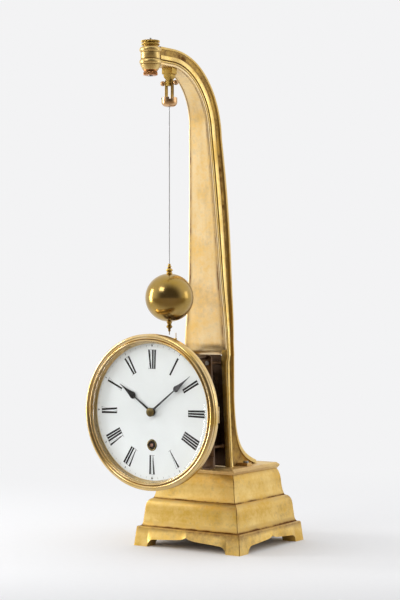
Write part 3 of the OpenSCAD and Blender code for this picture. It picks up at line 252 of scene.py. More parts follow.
def grid_faces(rows, columns, close_rows=False, close_columns=False):
    """Four-sided faces between the neighbours of a grid of points, row by row."""
    r = np.arange(rows if close_rows else rows - 1)
    c = np.arange(columns if close_columns else columns - 1)
    a, b = np.meshgrid(r, c, indexing="ij")
    a1, b1 = (a + 1) % rows, (b + 1) % columns
    return np.stack([a * columns + b, a * columns + b1, a1 * columns + b1, a1 * columns + b],
                    -1).reshape(-1, 4)


class Shell:
    """One closed surface: points, faces, and hollow and edge values for each point."""

    def __init__(self, points, faces, hollow=None, edge=None):
        self.points = np.asarray(points, float)
        self.faces = [np.asarray(f, int) for f in faces]
        count = len(self.points)
        self.hollow = np.zeros(count) if hollow is None else np.asarray(hollow, float)
        self.edge = np.zeros(count) if edge is None else np.asarray(edge, float)

    def outward(self):
        """Turns the faces over where the enclosed volume, the sum of a . (b x c) / 6 over the
        triangles, is negative."""
        volume = 0.0
        for group in self.faces:
            first = self.points[group[:, 0]]
            for k in range(1, group.shape[1] - 1):
                b, c = self.points[group[:, k]], self.points[group[:, k + 1]]
                volume += (first * np.cross(b, c)).sum()
        if volume < 0:
            self.faces = [group[:, ::-1] for group in self.faces]
        return self


def joined(shells):
    """Several closed shells as the parts of one piece."""
    points, faces, start = [], [], 0
    for shell in shells:
        shell.outward()
        faces += [group + start for group in shell.faces]
        points.append(shell.points)
        start += len(shell.points)
    return Shell(np.concatenate(points), faces, np.concatenate([s.hollow for s in shells]),
                 np.concatenate([s.edge for s in shells]))


def turned(profile, centre, axis="Z", steps=128, reach=1.0, change=None):
    """Turned shape: the profile's radius r and height h carried round the axis, to
    (r cos a, r sin a, h). A profile that starts and ends on the axis closes in two poles, and
    any other is a ring. change(r, h, a) may alter the surface's radii and heights."""
    profile = np.asarray(profile, float)
    poles = profile[0, 0] < 1e-6 and profile[-1, 0] < 1e-6
    hollow, edge = wear(profile, reach, not poles)
    rows = profile[1:-1] if poles else profile
    if poles:
        hollow, edge = hollow[1:-1], edge[1:-1]
    a = np.linspace(0, 2 * np.pi, steps, endpoint=False)
    r = np.repeat(rows[:, :1], steps, 1)
    h = np.repeat(rows[:, 1:], steps, 1)
    around = np.repeat(a[None, :], len(rows), 0)
    if change:
        r, h = change(r, h, around)
    grid = on_axis(r * np.cos(around), r * np.sin(around), h, axis).reshape(-1, 3)
    faces = [grid_faces(len(rows), steps, close_rows=not poles, close_columns=True)]
    hollow, edge = np.repeat(hollow, steps), np.repeat(edge, steps)
    if poles:
        tips = on_axis(np.zeros(2), np.zeros(2), profile[[0, -1], 1], axis)
        count, k = len(grid), np.arange(steps)
        last = (len(rows) - 1) * steps
        faces.append(np.stack([k * 0 + count, (k + 1) % steps, k], 1))
        faces.append(np.stack([k * 0 + count + 1, last + k, last + (k + 1) % steps], 1))
        grid = np.concatenate([grid, tips])
        hollow, edge = np.append(hollow, [0, 0]), np.append(edge, [0, 0])
    return Shell(grid + np.array(centre), faces, hollow, edge).outward()


def on_axis(u, v, h, axis):
    """Points of a turned shape about X, Y or Z."""
    order = {"Z": (u, v, h), "Y": (u, h, v), "X": (h, u, v)}[axis]
    return np.stack(order, -1)


def lofted(rings, hollow=None, edge=None):
    """Skin over a row of closed rings with equal counts, closed by a flat face at each end."""
    rows, columns = rings.shape[:2]
    faces = [grid_faces(rows, columns, close_columns=True), np.arange(columns)[None, ::-1],
             ((rows - 1) * columns + np.arange(columns))[None, :]]
    values = [None if v is None else np.repeat(np.asarray(v)[None, :], rows, 0).reshape(-1)
              for v in (hollow, edge)]
    return Shell(rings.reshape(-1, 3), faces, *values).outward()


def eased_block(low, high, radius, steps=4):
    """Block with eased edges: rounded rectangles, drawn in near both ends along a quarter
    circle, stacked along Z."""
    low, high = np.array(low, float), np.array(high, float)
    mid, half = (low + high) / 2, (high - low) / 2
    a = np.linspace(0, np.pi / 2, steps + 1)
    inset = radius * (1 - np.sin(a))
    level = half[2] - radius + radius * np.cos(a)
    shrink = np.concatenate([inset, inset[::-1]])
    height = np.concatenate([-level, level[::-1]])
    shell = lofted(np.array([rectangle(half[0] - k, half[1] - k, z, radius, steps) + mid
                             for k, z in zip(shrink, height)]))
    shell.edge[:] = 0.4
    return shell


def about_dial(profile, steps, reach, change=None):
    """A shape turned about the dial's middle."""
    return turned(profile, (0, 0, DIAL_Z), "Y", steps, reach, change)


def upright(profile, y, steps, reach, change=None):
    """A shape turned about an upright axis in the clock's middle plane."""
    return turned(profile, (0, y, 0), "Z", steps, reach, change)


def placed(name, shell, finish, body, slot, *nodes, crease=38.0):
    """Puts a shell into the scene as a piece of a body, in place of the named CAD nodes. The
    points are moved along Y so that the middle of the clock's box is the origin."""
    mesh = bpy.data.meshes.new(name)
    points = (shell.points + np.array([0.0, SHIFT_Y, 0.0])) * MM
    faces = [row for group in shell.faces for row in group.tolist()]
    mesh.from_pydata(points.tolist(), [], faces)
    for key, values in (("hollow", shell.hollow), ("edge", shell.edge)):
        layer = mesh.attributes.new(key, "FLOAT", "POINT")
        layer.data.foreach_set("value", values.astype(np.float32))
    mesh.polygons.foreach_set("use_smooth", np.ones(len(mesh.polygons), bool))
    mesh.set_sharp_from_angle(angle=math.radians(crease))
    mesh.materials.append(FINISHES[finish])
    mesh.update()
    piece = bpy.data.objects.new(name, mesh)
    bpy.context.scene.collection.objects.link(piece)
    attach(piece, body)
    if nodes:
        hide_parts(*nodes)
    return piece


# Plinth and cap.

BAND_TOP = PLINTH_HALF - 2.1
TIER_HALF = BAND_TOP - 3.0
SHOULDER = TIER_HALF - 8.8
NECK = CAP_HALF - 2.6
PLINTH_SIDE = np.concatenate([
    [(PLINTH_HALF, 0.0), (PLINTH_HALF - 0.7, 6.0), (PLINTH_HALF - 1.35, 12.5)],
    arc((BAND_TOP - 1.8, 19.2), 1.8, 0, 90, 8),
    curve3((TIER_HALF, 21.0), (TIER_HALF - 2, 22.5), (TIER_HALF - 2.4, 28), 10),
    curve3((TIER_HALF - 3.7, 40), (TIER_HALF - 4.4, 48.5), (SHOULDER, 50), 18),
    curve3((SHOULDER - 1.2, 50.6), (SHOULDER - 3.2, 55), (SHOULDER - 4, 64), 12),
    curve3((SHOULDER - 4.2, 67), (NECK + 3, 75), (NECK, CAP_FOOT_Z), 12)])
CEILING_Z = 43.0
PLINTH_IN = [(NECK - 7, CAP_FOOT_Z), (NECK - 7, CEILING_Z), (TIER_HALF - 10.7, CEILING_Z),
             (TIER_HALF - 10.7, 0.0)]
APRON, FOOT_CURVE, FOOT_ZONE = PLINTH_HALF - 17.5, 8.0, 19.0
APRON_SHARE = 0.75


def apron_height(x):
    """Height of the apron's lower edge: a quarter circle beside the foot, a slope, and a small
    pointed arch in the middle."""
    x = np.abs(x)
    past = np.clip(x - APRON + FOOT_CURVE, 0, FOOT_CURVE)
    corner = np.sqrt(np.clip(FOOT_CURVE ** 2 - past ** 2, 0, None))
    slope = np.interp(x, [0, 9, 12, APRON - FOOT_CURVE], [10.6, 10.4, 10, FOOT_CURVE])
    arch = 2.6 * np.clip(1 - x / 9, 0, 1) ** 1.7
    return np.where(x >= APRON, 0.0, np.where(x > APRON - FOOT_CURVE, corner, slope + arch))


def squared(profile, lift, corner, columns):
    """A profile carried round a square with mitred and slightly rounded corners: on the side
    that faces -Y, point (half width w, height z) lies at (x, -w, z), where x runs along the side.
    Columns up to APRON_SHARE lie on the apron and the rest on the foot. If lift is set, points
    below FOOT_ZONE are raised to the apron's edge."""
    w, z = profile[:, :1], profile[:, 1:]
    u = columns[None, :]
    flat = np.minimum(APRON + 0.1, 0.97 * w)
    end = w - corner
    foot = np.clip((np.abs(u) - APRON_SHARE) / (1 - APRON_SHARE), 0, 1)
    x = np.where(np.abs(u) <= APRON_SHARE, flat * u / APRON_SHARE,
                 np.sign(u) * (flat + (end - flat) * foot))
    y = np.repeat(-w, u.shape[1], 1)
    turn = np.radians(np.array([15, 30, 45, 60, 75]))[None, :]
    x = np.concatenate([x, end + corner * np.sin(turn)], 1)
    y = np.concatenate([y, -end - corner * np.cos(turn)], 1)
    low = apron_height(x) if lift else np.zeros_like(x)
    height = np.where(z < FOOT_ZONE, low + z * (FOOT_ZONE - low) / FOOT_ZONE, z)
    return np.concatenate([np.stack([c * x - s * y, s * x + c * y, height + 0 * x], -1)
                           for c, s in ((1, 0), (0, 1), (-1, 0), (0, -1))], 1)


def plinth_shell(corner):
    """The plinth's outer moulding, its inner wall and its open foot as one closed surface."""
    outer = rounded(PLINTH_SIDE, 0.3, 2)
    profile = np.concatenate([outer, [(NECK - 0.4, CAP_FOOT_Z)], rounded(PLINTH_IN, 0.6, 3)])
    fine = APRON_SHARE * (APRON - FOOT_CURVE) / APRON
    bow = APRON_SHARE - (APRON_SHARE - fine) * np.cos(np.linspace(0, np.pi / 2, 12)) ** 2
    middle = np.linspace(0, fine, 26)[:-1]
    foot = np.append(APRON_SHARE + 0.0001, np.linspace(APRON_SHARE + 0.01, 1, 8))
    right = np.unique(np.concatenate([middle, bow, foot]))
    columns = np.concatenate([-right[:0:-1], right])
    rings = squared(profile, True, corner, columns)
    rows, count = rings.shape[:2]
    hollow, edge = wear(profile, 2.2, True)
    # The hollows darken more, and the inner wall is set to 0.7: painted shade in the recesses and
    # inside the plinth, with tarnish.
    hollow = np.clip(1.7 * hollow, 0, 1)
    edge[len(outer):] = 0
    hollow[len(outer):] = 0.7
    mitre = np.tile(np.concatenate([np.zeros(len(columns)), np.ones(5)]), 4)
    edge = np.maximum(edge[:, None], 0.9 * mitre[None, :])
    return Shell(rings.reshape(-1, 3), [grid_faces(rows, count, True, True)],
                 np.repeat(hollow, count), edge.reshape(-1)).outward()


def cap_shell(corner):
    """The cap plate: a rounded edge carried round a square, closed above and below by rings that
    shrink to a small square."""
    side = rounded(np.concatenate([[(CAP_HALF - 1.6, CAP_FOOT_Z)],
                                   arc((CAP_HALF - 1.8, CAP_FOOT_Z + 3), 1.8, -50, 70, 8),
                                   [(CAP_HALF - 2.4, CAP_TOP_Z)]]), 0.3, 2)
    profile = np.concatenate([[(3.0, CAP_FOOT_Z), (20.0, CAP_FOOT_Z)], side,
                              [(30.0, CAP_TOP_Z), (3.0, CAP_TOP_Z)]])
    right = np.linspace(0.02, 1, 24)
    rings = squared(profile, False, corner, np.concatenate([-right[::-1], right]))
    hollow, edge = wear(profile, 1.2, False)
    shell = lofted(rings)
    shell.hollow = np.repeat(hollow, rings.shape[1])
    shell.edge = np.repeat(edge, rings.shape[1])
    return shell


# Pillar.

def half_width(z):
    """The pillar's half width: it grows downwards, and flares as 3t^2 - 2t^3 over its last 80
    mm."""
    flare_height, flare_width = 80, 2.4
    t = np.clip((HOOD_Z + flare_height - np.maximum(z, HOOD_Z)) / flare_height, 0, None)
    taper = 0.05
    return BEND_HALF + np.clip(BEND_Z - z, 0, None) * taper + flare_width * smooth(t)


def wall_width(half):
    """Width of the frame's wall beside the front plate, by the pillar's half width."""
    return 1.5 + 0.21 * half


def pillar_lines(straight=72, bend=44, tip=8):
    """Stations up the pillar: the front face's line, the back's line and the half width. The
    face leans forward as the 1.6th power of height, then follows a quarter circle and runs
    straight to the boss. The back's bend is a little fuller than a circle: cosine and sine to the
    0.93rd power."""
    z = np.concatenate([np.linspace(HOOD_FOOT_Z, HOOD_Z, 5),
                        np.linspace(HOOD_Z, BEND_Z, straight)[1:]])
    f = np.clip((z - HOOD_Z) / (BEND_Z - HOOD_Z), 0, None)
    lean = BEND_Y + BEND_R - FACE_Y
    back_top = BEND_Y + 1.5 + BACK_BEND_R
    a = np.radians(np.linspace(0, 90, bend + 1)[1:])
    q = np.linspace(0, 1, tip + 1)[1:]
    face_y = np.concatenate([FACE_Y + lean * f ** 1.6, BEND_Y + BEND_R * np.cos(a),
                             BEND_Y + (ARM_END_Y - BEND_Y) * q])
    face_z = np.concatenate([z, BEND_Z + BEND_R * np.sin(a), np.full(tip, BEND_Z + BEND_R)])
    thick_y = np.concatenate([np.full(len(z), FRONT_PLATE_T), FRONT_PLATE_T * np.cos(a),
                              np.zeros(tip)])
    thick_z = np.concatenate([np.zeros(len(z)), FRONT_PLATE_T * np.sin(a),
                              np.full(tip, FRONT_PLATE_T)])
    back_y = np.concatenate([
        BACK_Y + (back_top - BACK_Y) * f + 4 * BACK_BULGE * f * (1 - f),
        BEND_Y + 1.5 + BACK_BEND_R * np.clip(np.cos(a), 0, 1) ** 0.93,
        BEND_Y + 1.5 + (ARM_END_Y - BEND_Y - 1.5) * q])
    low_z = BEND_Z - BEND_DROP
    back_z = np.concatenate([z - BEND_DROP * f, low_z + BACK_BEND_R * np.sin(a) ** 0.93,
                             np.full(tip, low_z + BACK_BEND_R)])
    half = np.concatenate([half_width(z), BEND_HALF + (ARM_HALF - BEND_HALF) * np.sin(a),
                           ARM_HALF + (ARM_TIP_HALF - ARM_HALF) * q])
    face = np.stack([face_y, face_z], 1)
    return face, face + np.stack([thick_y, thick_z], 1), np.stack([back_y, back_z], 1), half


def moulded_side(inner, outer, front, bead, flat, bay, bay_end, back, bay_depth, groove, nose):
    """Half of a section from the front's inner corner round to the back's: a bead of half a sine,
    a V groove, a flat, a cavetto whose depth is a sine to the 0.7th power, and a back band."""
    q = np.linspace(0, 1, 9)[None, :]
    bead_x = (outer - nose)[:, None] + nose[:, None] * np.sin(np.pi * q) ** 0.6
    bead_n = front[:, None] + (bead - front)[:, None] * q
    a = np.pi * np.linspace(0, 1, 21)[None, :]
    bay_x = outer[:, None] - bay_depth[:, None] * np.sin(a) ** 0.7
    bay_n = bay[:, None] + (bay_end - bay)[:, None] * (1 - np.cos(a)) / 2
    middle = (bead + flat) / 2
    x = [np.stack([inner, outer - nose], 1), bead_x[:, 1:-1],
         np.stack([outer - nose - groove * 0.4, outer - nose - groove, outer - 0.15, outer,
                   outer], 1), bay_x,
         np.stack([outer, outer - 0.05, outer - 0.3, outer - 1.0, inner], 1)]
    n = [np.stack([front, front], 1), bead_n[:, 1:-1],
         np.stack([bead, middle, flat - 0.02, flat + 0.25, bay - 0.2], 1), bay_n,
         np.stack([bay_end + 0.25, back - 1.1, back - 0.45, back, back], 1)]
    return np.concatenate(x, 1), np.concatenate(n, 1)


def side_wear():
    """Hollow and edge of moulded_side's forty points: dark in the groove and down the cavetto, as
    the 0.6th power of a sine, which is painted shade with tarnish, and worn on the bead and on the
    cavetto's two arrises."""
    hollow, edge = np.zeros(40), np.zeros(40)
    hollow[8:12] = 0.4, 1.0, 1.0, 0.5
    hollow[14:35] = 0.75 * np.clip(np.sin(np.linspace(0, np.pi, 21)), 0, 1) ** 0.6
    hollow[35:] = 0.25
    edge[3:8] = 0.7
    edge[[12, 13, 36, 37]] = 0.8
    return hollow, edge


LEG_OUT, LEG_OUT_TAPER, LEG_IN, LEG_IN_TAPER = 30.6, 5.6, 24.9, 5.5
LEG_FRONT_Y, LEG_BACK_Y, LEG_INNER_Y = -26.6, 26.0, -19.5
RIB_REACH, RIB_HEIGHT = 37.0, 13.0


def leg_lines(rings=64):
    """Heights down the legs, close together at the foot where the rib flares, and their outer
    and inner half widths, front and back. gain is the widening to the hood: 3t^2 - 2t^3 over
    8 mm at the front, and at the back what keeps the width level."""
    z = CAP_TOP_Z + (HOOD_FOOT_Z - 1 - CAP_TOP_Z) * np.linspace(1, 0, rings) ** 1.7
    top = HOOD_FOOT_Z - 9
    fall = np.minimum(1, (z - CAP_TOP_Z) / (top - CAP_TOP_Z))
    flare = 1.5 * np.clip((CAP_TOP_Z + 10 - z) / 10, 0, None) ** 2
    outer = LEG_OUT - LEG_OUT_TAPER * fall + flare
    inner = LEG_IN - LEG_IN_TAPER * fall
    hood_half = half_width(HOOD_FOOT_Z)
    gain = np.stack([(hood_half - LEG_OUT + LEG_OUT_TAPER) * smooth(np.clip((z - top) / 8, 0, 1)),
                     np.maximum(hood_half - outer, 0)])
    return z, outer, inner, LEG_FRONT_Y - flare, rib_back(z), rib_back(z + 4) - 2.6, gain


def rib_back(z):
    """Back of the leg: straight, then thrown out by exp(-height / RIB_HEIGHT) into the flared
    rib."""
    return np.minimum(LEG_BACK_Y, BACK_Y + RIB_REACH * np.exp(-(z - CAP_TOP_Z - 4) / RIB_HEIGHT))


def leg_rings():
    """Rings down the right leg and the left one: a moulded side, and a point on the inner face
    that meets the channel's floor above."""
    z, outer, inner, front, rear, bay_end, gain = leg_lines()
    flat = np.zeros_like(z)
    x, y = moulded_side(inner, outer, front, front + 1.3, front + 2.3, front + 5, bay_end, rear,
                        0.55 * (outer - inner), 0.12 + flat, 0.6 + flat)
    backward = np.clip((y - front[:, None]) / 9, 0, 1)
    outward = np.clip((x - inner[:, None]) / (outer - inner)[:, None], 0, 1)
    x = x + outward * (gain[0][:, None] * (1 - backward) + gain[1][:, None] * backward)
    inner_x, inner_y = inner[:, None] - 0.06, np.full((len(z), 1), LEG_INNER_Y)
    height = np.repeat(z[:, None], x.shape[1] + 1, 1)
    return [np.stack([np.concatenate(across, 1), np.concatenate(deep, 1), height], -1)
            for across, deep in (((x, inner_x), (y, inner_y)),
                                 ((-x[:, ::-1], -inner_x), (y[:, ::-1], inner_y)))]


def pillar_shell():
    """The moulded frame: a channel carried up the stations, which parts below into two legs."""
    _, seam, back, half = pillar_lines()
    across = back - seam
    depth = np.linalg.norm(across, axis=1)
    along = across / depth[:, None]
    wall = wall_width(half)
    zero = np.zeros_like(depth)
    x, n = moulded_side(half - wall, half, zero, 0.12 * depth, 0.18 * depth, 0.44 * depth,
                        0.84 * depth, depth, 0.6 * wall, 0.5 + zero, 0.75 + zero)
    floor = depth - 0.7 * wall
    x = np.concatenate([x, -x[:, ::-1], -(half - wall)[:, None], (half - wall)[:, None]], 1)
    n = np.concatenate([n, n[:, ::-1], floor[:, None], floor[:, None]], 1)
    frame_rings = np.stack([x, seam[:, :1] + along[:, :1] * n, seam[:, 1:] + along[:, 1:] * n], -1)
    right, left = leg_rings()
    side = right.shape[1] - 1
    stations, ring = frame_rings.shape[:2]
    legs, leg_ring = right.shape[:2]
    start_right = stations * ring
    start_left = start_right + legs * leg_ring
    faces = [grid_faces(stations, ring, close_columns=True),
             ((stations - 1) * ring + np.arange(ring))[None, :],
             np.array([[ring - 1, ring - 2, side, side - 1]])]
    top_right = np.concatenate([np.arange(side), [ring - 1]])
    top_left = np.concatenate([np.arange(side, 2 * side), [ring - 2]])
    for start, top in ((start_right, top_right), (start_left, top_left)):
        first = start + np.arange(leg_ring)
        faces.append(np.stack([np.roll(top, -1), top, first, np.roll(first, -1)], 1))
        faces.append(grid_faces(legs, leg_ring, close_columns=True)[:, ::-1] + start)
        faces.append((start + (legs - 1) * leg_ring + np.arange(leg_ring))[None, ::-1])
    points = np.concatenate([frame_rings.reshape(-1, 3), right.reshape(-1, 3), left.reshape(-1, 3)])
    hollow, edge = side_wear()
    # The channel's floor (0.5) and the legs' inner faces (0.6) darken: painted shade inside the
    # channel.
    values = [np.concatenate([np.tile(np.concatenate([v, v[::-1], [floor_v, floor_v]]), stations),
                              np.tile(np.append(v, inner_v), legs),
                              np.tile(np.append(v[::-1], inner_v), legs)])
              for v, floor_v, inner_v in ((hollow, 0.5, 0.6), (edge, 0.0, 0.0))]
    return Shell(points, faces, *values)


def front_plate_shell(edge_radius):
    """The front plate: a sheet with rounded edges carried down the pillar's face, then back
    round the rolled lower edge, where it narrows to pass between the frame's walls. Beside the
    seam it darkens, as exp(-distance^2): painted shade, with tarnish."""
    face, seam, _, half = pillar_lines()
    below_hood, clear = 4, 0.3
    face, seam, half = [line[below_hood:][::-1] for line in (face, seam, half - clear)]
    turn = np.radians(np.linspace(0, 90, 33)[1:])
    centre = np.array([FACE_Y + ROLL_R, HOOD_Z])
    away = np.stack([-np.cos(turn), -np.sin(turn)], 1)
    roll_face = centre + ROLL_R * away
    roll_seam = centre + (ROLL_R - FRONT_PLATE_T) * away
    full = half[-1]
    between = full + clear - wall_width(full + clear) - 0.35
    narrow_from, narrow_over = 30, 18
    f = np.clip((np.degrees(turn) - narrow_from) / narrow_over, 0, 1)
    roll_half = full - (full - between) * (1 - np.sqrt(1 - f ** 2))
    face, seam = np.concatenate([face, roll_face]), np.concatenate([seam, roll_seam])
    half = np.concatenate([half, roll_half])
    r = edge_radius
    a = np.radians(np.linspace(0, 90, 6))[None, :]
    w = half[:, None]
    side, ease = -w + r * (1 - np.cos(a)), r * (1 - np.sin(a)) + 0 * w
    crown = np.linspace(-1, 1, 27)[None, 1:-1]
    back = np.full_like(w, FRONT_PLATE_T)
    x = np.concatenate([side, (w - r) * crown, -side[:, ::-1], w, -w], 1)
    n = np.concatenate([ease, 0 * w * crown, ease[:, ::-1], back, back], 1)
    across = (seam - face) / FRONT_PLATE_T
    rings = np.stack([x, face[:, :1] + across[:, :1] * n, face[:, 1:] + across[:, 1:] * n], -1)
    count = rings.shape[1]
    edge = np.zeros(count)
    edge[:6], edge[31:37] = 0.9, 0.9
    hollow = np.zeros(count)
    # Dark beside the seam and on the back edges: painted shade between plate and frame, with
    # tarnish.
    hollow[6:31] = np.exp(-(6 * (1 - np.abs(crown[0]))) ** 2)
    hollow[-2:] = 0.9
    return lofted(rings, hollow, edge)


# Boss, nuts and suspension.

def boss_shell():
    """The boss: two half-round rings on a turned socket, with a flat seat for the arm."""
    profile = np.concatenate([
        [(SCREW_BORE, BOSS_FOOT), (BOSS_R - 3.6, BOSS_FOOT), (BOSS_R - 3.0, BOSS_FOOT + 0.6),
         (BOSS_R - 1.0, BOSS_FOOT + 5.0)],
        arc((BOSS_R - 3.2, BOSS_FOOT + 8), 3.2, -60, 62, 14),
        [(BOSS_WAIST_R + 0.05, BOSS_FOOT + 11.6), (BOSS_WAIST_R, BOSS_FOOT + 17.3)],
        arc((BOSS_R - 3, BOSS_FOOT + 20.3), 3, -68, 86, 14),
        [(BOSS_R - 3.2, BOSS_TOP), (SCREW_BORE, BOSS_TOP)]])
    seat = ARM_END_Y - BOSS_Y

    def flat_seat(r, h, a):
        """Points past the seat are drawn in to it along their radius."""
        y = r * np.sin(a)
        return np.where(y > seat, seat / np.maximum(np.sin(a), 1e-3), r), h
    return upright(profile, BOSS_Y, 160, 1.4, flat_seat)


def knurling(count, depth, low_radius):
    """Radii that fall and rise again count times a turn, on the points outside low_radius: the
    0.6th power of (1 - cos) / 2."""
    def change(r, h, a):
        wave = (0.5 - 0.5 * np.cos(count * a)) ** 0.6
        return np.where(r > low_radius, r - depth * (1 - wave), r), h
    return change


def milled_nut_shell(knurls):
    """The top nut: two knurled bands on a plain body, with a chamfered bore."""
    z = BOSS_TOP + 0.1
    profile = rounded([
        (SCREW_BORE, z), (7.4, z), (7.5, z + 1.0), (9.4, z + 1.0), (9.4, z + 2.3), (7.6, z + 2.3),
        (7.6, z + 3.8), (9.4, z + 3.8), (9.4, z + 5.6), (7.9, z + 5.6), (7.3, z + 5.2),
        (3.1, z + 5.2), (SCREW_BORE, z + 4.9)], 0.28, 3, ring=True)
    return upright(profile, BOSS_Y, knurls * 8, 0.6, knurling(knurls, 0.45, 8.6))


def collar_nut_shell():
    """The lower nut: a deep knurled band, a waist and a plain ring above."""
    z = BOSS_FOOT - 5.6
    profile = rounded([
        (SCREW_BORE, z), (6.6, z), (7.3, z + 0.5), (7.3, z + 3.1), (6.5, z + 3.4), (6.4, z + 4.2),
        (7.25, z + 4.3), (7.25, z + 5.6), (SCREW_BORE, z + 5.6)], 0.25, 3, ring=True)
    change = knurling(36, 0.45, 6.9)

    def lower_only(r, h, a):
        """The knurls stay on the lower band."""
        cut, _ = change(r, h, a)
        return np.where(h < z + 3.6, cut, r), h
    return upright(profile, BOSS_Y, 288, 0.6, lower_only)


def block_shell():
    """The hanging block: a flat plate under the arm and rounded squares that narrow downwards
    into the tongue. The top follows the arm's underside, a circle of the bend's radius."""
    levels = np.array([
        (2.1, 2.5, CROSS_PIN_Z - 3.0), (2.1, 2.5, CROSS_PIN_Z + 2.3), (2.3, 2.6, CROSS_PIN_Z + 2.5),
        (4.4, 4.4, CROSS_PIN_Z + 6.1), (4.5, 4.5, CROSS_PIN_Z + 8.6), (6.4, 4.7, CROSS_PIN_Z + 9.2),
        (6.4, 4.7, CROSS_PIN_Z + 11)])
    rings = [rectangle(x, y, z, 0.5, 4) + np.array([0.0, HANG_Y, 0.0])
             for x, y, z in rounded(levels, 0.25, 3)]
    top = rings[-1].copy()
    top[:, 2] = BEND_Z + np.sqrt(BEND_R ** 2 - (top[:, 1] - BEND_Y) ** 2) - 0.05
    shell = lofted(np.array(rings + [top]))
    shell.edge[:] = 0.25
    return shell


def cross_pin_shell():
    """The cross pin with a round knob and collar at each end."""
    a = np.radians(np.linspace(-35, 88, 16))
    dome = np.stack([8.2 + 2.7 * np.sin(a), 2.7 * np.cos(a)], 1)
    half = np.concatenate([[(0.0, 0.9), (5.7, 0.9), (5.75, 1.55), (6.35, 1.6), (6.4, 2.0)], dome,
                           [(10.9, 0.0)]])
    half = half[:, ::-1]
    other = half[1:][::-1] * np.array([1, -1])
    return turned(np.concatenate([other, half]), (0, HANG_Y, CROSS_PIN_Z), axis="X", steps=64,
                  reach=0.5)


def stirrup_shells():
    """The suspension's cup, with four notches in its rim, and the two posts beside the tongue."""
    foot, rim, r = CUP_PIN_Z - 4.6, CUP_PIN_Z + 5.0, 8.2
    outer = np.concatenate([[(1.6, foot)], arc((r - 5, foot + 5), 5, -88, 0, 14),
                            [(r, foot + 6.2), (r, rim - 0.3), (r - 0.3, rim),
                             (r - 0.95, rim), (r - 1.2, rim - 0.3)],
                            arc((r - 5, foot + 5), 3.8, 0, -88, 14), [(1.6, foot + 1.2)]])

    def notched(radius, height, a):
        """The rim is lowered in four windows of the angle."""
        away = np.abs(a % (np.pi / 2) - np.pi / 4)
        return radius, np.where((away < 0.2) & (height > rim - 2.2), rim - 2.2, height)
    cup = upright(outer, HANG_Y, 180, 0.8, notched)
    posts = []
    for side in (-1, 1):
        low = (side * 3.7 - 0.8, HANG_Y - 2.0, foot + 1.0)
        high = (side * 3.7 + 0.8, HANG_Y + 2.0, CROSS_PIN_Z + 3.0)
        posts.append(eased_block(low, high, 0.35, 3))
    return cup, joined(posts)


# Pendulum.

def ball_shell():
    """The ball: half a circle turned, with small flats where the finials seat."""
    top = math.degrees(math.asin(BALL_SEAT / BALL_R))
    side = arc((0, 0), BALL_R, -top, top, 110)
    profile = np.concatenate([[(0, -BALL_SEAT)], side, [(0, BALL_SEAT)]])
    return turned(profile, (0, HANG_Y, BALL_Z), steps=192, reach=0.4)


def upper_finial_shell():
    """The upper finial: three beads with fine necks, through a smooth curve."""
    seat = BALL_Z + BALL_SEAT
    k = (FINIAL_TOP_Z - seat) / 11
    levels = [(3.0, 0.0), (3.1, 0.9), (2.7, 1.6), (2.2, 2.0), (2.9, 2.6), (3.45, 3.4), (3.4, 4.4),
              (2.5, 5.4), (1.6, 6.2), (1.5, 6.7), (2.15, 7.3), (2.25, 8.0), (1.6, 8.8),
              (1.15, 9.2), (1.5, 9.7), (1.45, 10.4), (0.9, 11.0)]
    side = flowing([(r, seat + h * k) for r, h in levels], 5)
    profile = np.concatenate([[(0.51, side[0, 1])], side, [(0.51, side[-1, 1])]])
    return upright(profile, HANG_Y, 64, 0.6)


def lower_finial_shell():
    """The lower finial and its needle."""
    seat = BALL_Z - BALL_SEAT
    k = (seat - FINIAL_FOOT_Z) / 10.2
    levels = [(2.9, 0.0), (2.8, 0.8), (2.4, 1.6), (2.05, 2.4), (2.05, 3.4), (2.5, 4.2),
              (3.1, 5.0), (3.1, 5.8), (2.3, 6.6), (1.6, 7.3), (1.25, 8.0), (1.45, 8.7),
              (1.4, 9.4), (0.95, 10.2)]
    side = flowing([(r, seat - h * k) for r, h in levels], 5)
    needle = [(0.45, 230.6), (0.45, 228.4), (0.3, 227.6), (0.1, 227.2)]
    profile = np.concatenate([[(0.0, seat)], side, needle, [(0.0, 227.2)]])
    return upright(profile, HANG_Y, 64, 0.6)


# Dial, hands and bezel.

def figure_strokes(figure, bar, gap):
    """Strokes of a roman figure as four-cornered outlines, in units where u runs across and v
    from 0 at the foot to 1 at the top. I is a bar, V and X have one thick and one thin stroke."""
    thin, serif, overhang = 0.22, 0.014, 0.3
    widths = {"I": bar, "V": 1.9 * bar, "X": 1.95 * bar}
    strokes, x = [], 0.0

    def stroke(left, right, top_left, top_right, foot=0.0, head=1.0):
        """One stroke between its feet and its heads, which are measured from x."""
        strokes.append([(x + left, foot), (x + right, foot), (x + top_right, head),
                        (x + top_left, head)])
    for mark in figure:
        w = widths[mark]
        if mark == "I":
            stroke(0, bar, 0, bar)
        elif mark == "V":
            stroke(w / 2 - thin, w / 2 + thin, 0, bar)
            stroke(w / 2 - thin, w / 2 + thin, w - thin, w)
        else:
            stroke(w - bar, w, 0, bar)
            stroke(0, thin, w - thin, w)
        x += w + gap
    wide, x = x - gap, 0.0
    for foot, head in ((0.0, serif), (1.0 - serif, 1.0)):
        stroke(-overhang, wide + overhang, -overhang, wide + overhang, foot, head)
    return np.array(strokes) - np.array([wide / 2, 0.0])


def printed(outlines, rise=0.05):
    """Four-cornered outlines on the dial's face as thin raised prints, each a closed prism."""
    flat = np.asarray(outlines, float)
    count = len(flat)
    under = np.full((count, 4, 1), DIAL_Y + 0.02)
    low = np.concatenate([flat[..., :1], under, flat[..., 1:]], -1)
    high = low.copy()
    high[..., 1] = DIAL_Y - rise
    points = np.concatenate([low, high], 1).reshape(-1, 3) + np.array([0, 0, DIAL_Z])
    box = np.array([(0, 1, 2, 3), (7, 6, 5, 4), (0, 4, 5, 1), (1, 5, 6, 2), (2, 6, 7, 3),
                    (3, 7, 4, 0)])
    faces = (np.arange(count)[:, None, None] * 8 + box[None]).reshape(-1, 4)
    return Shell(points, [faces]).outward()


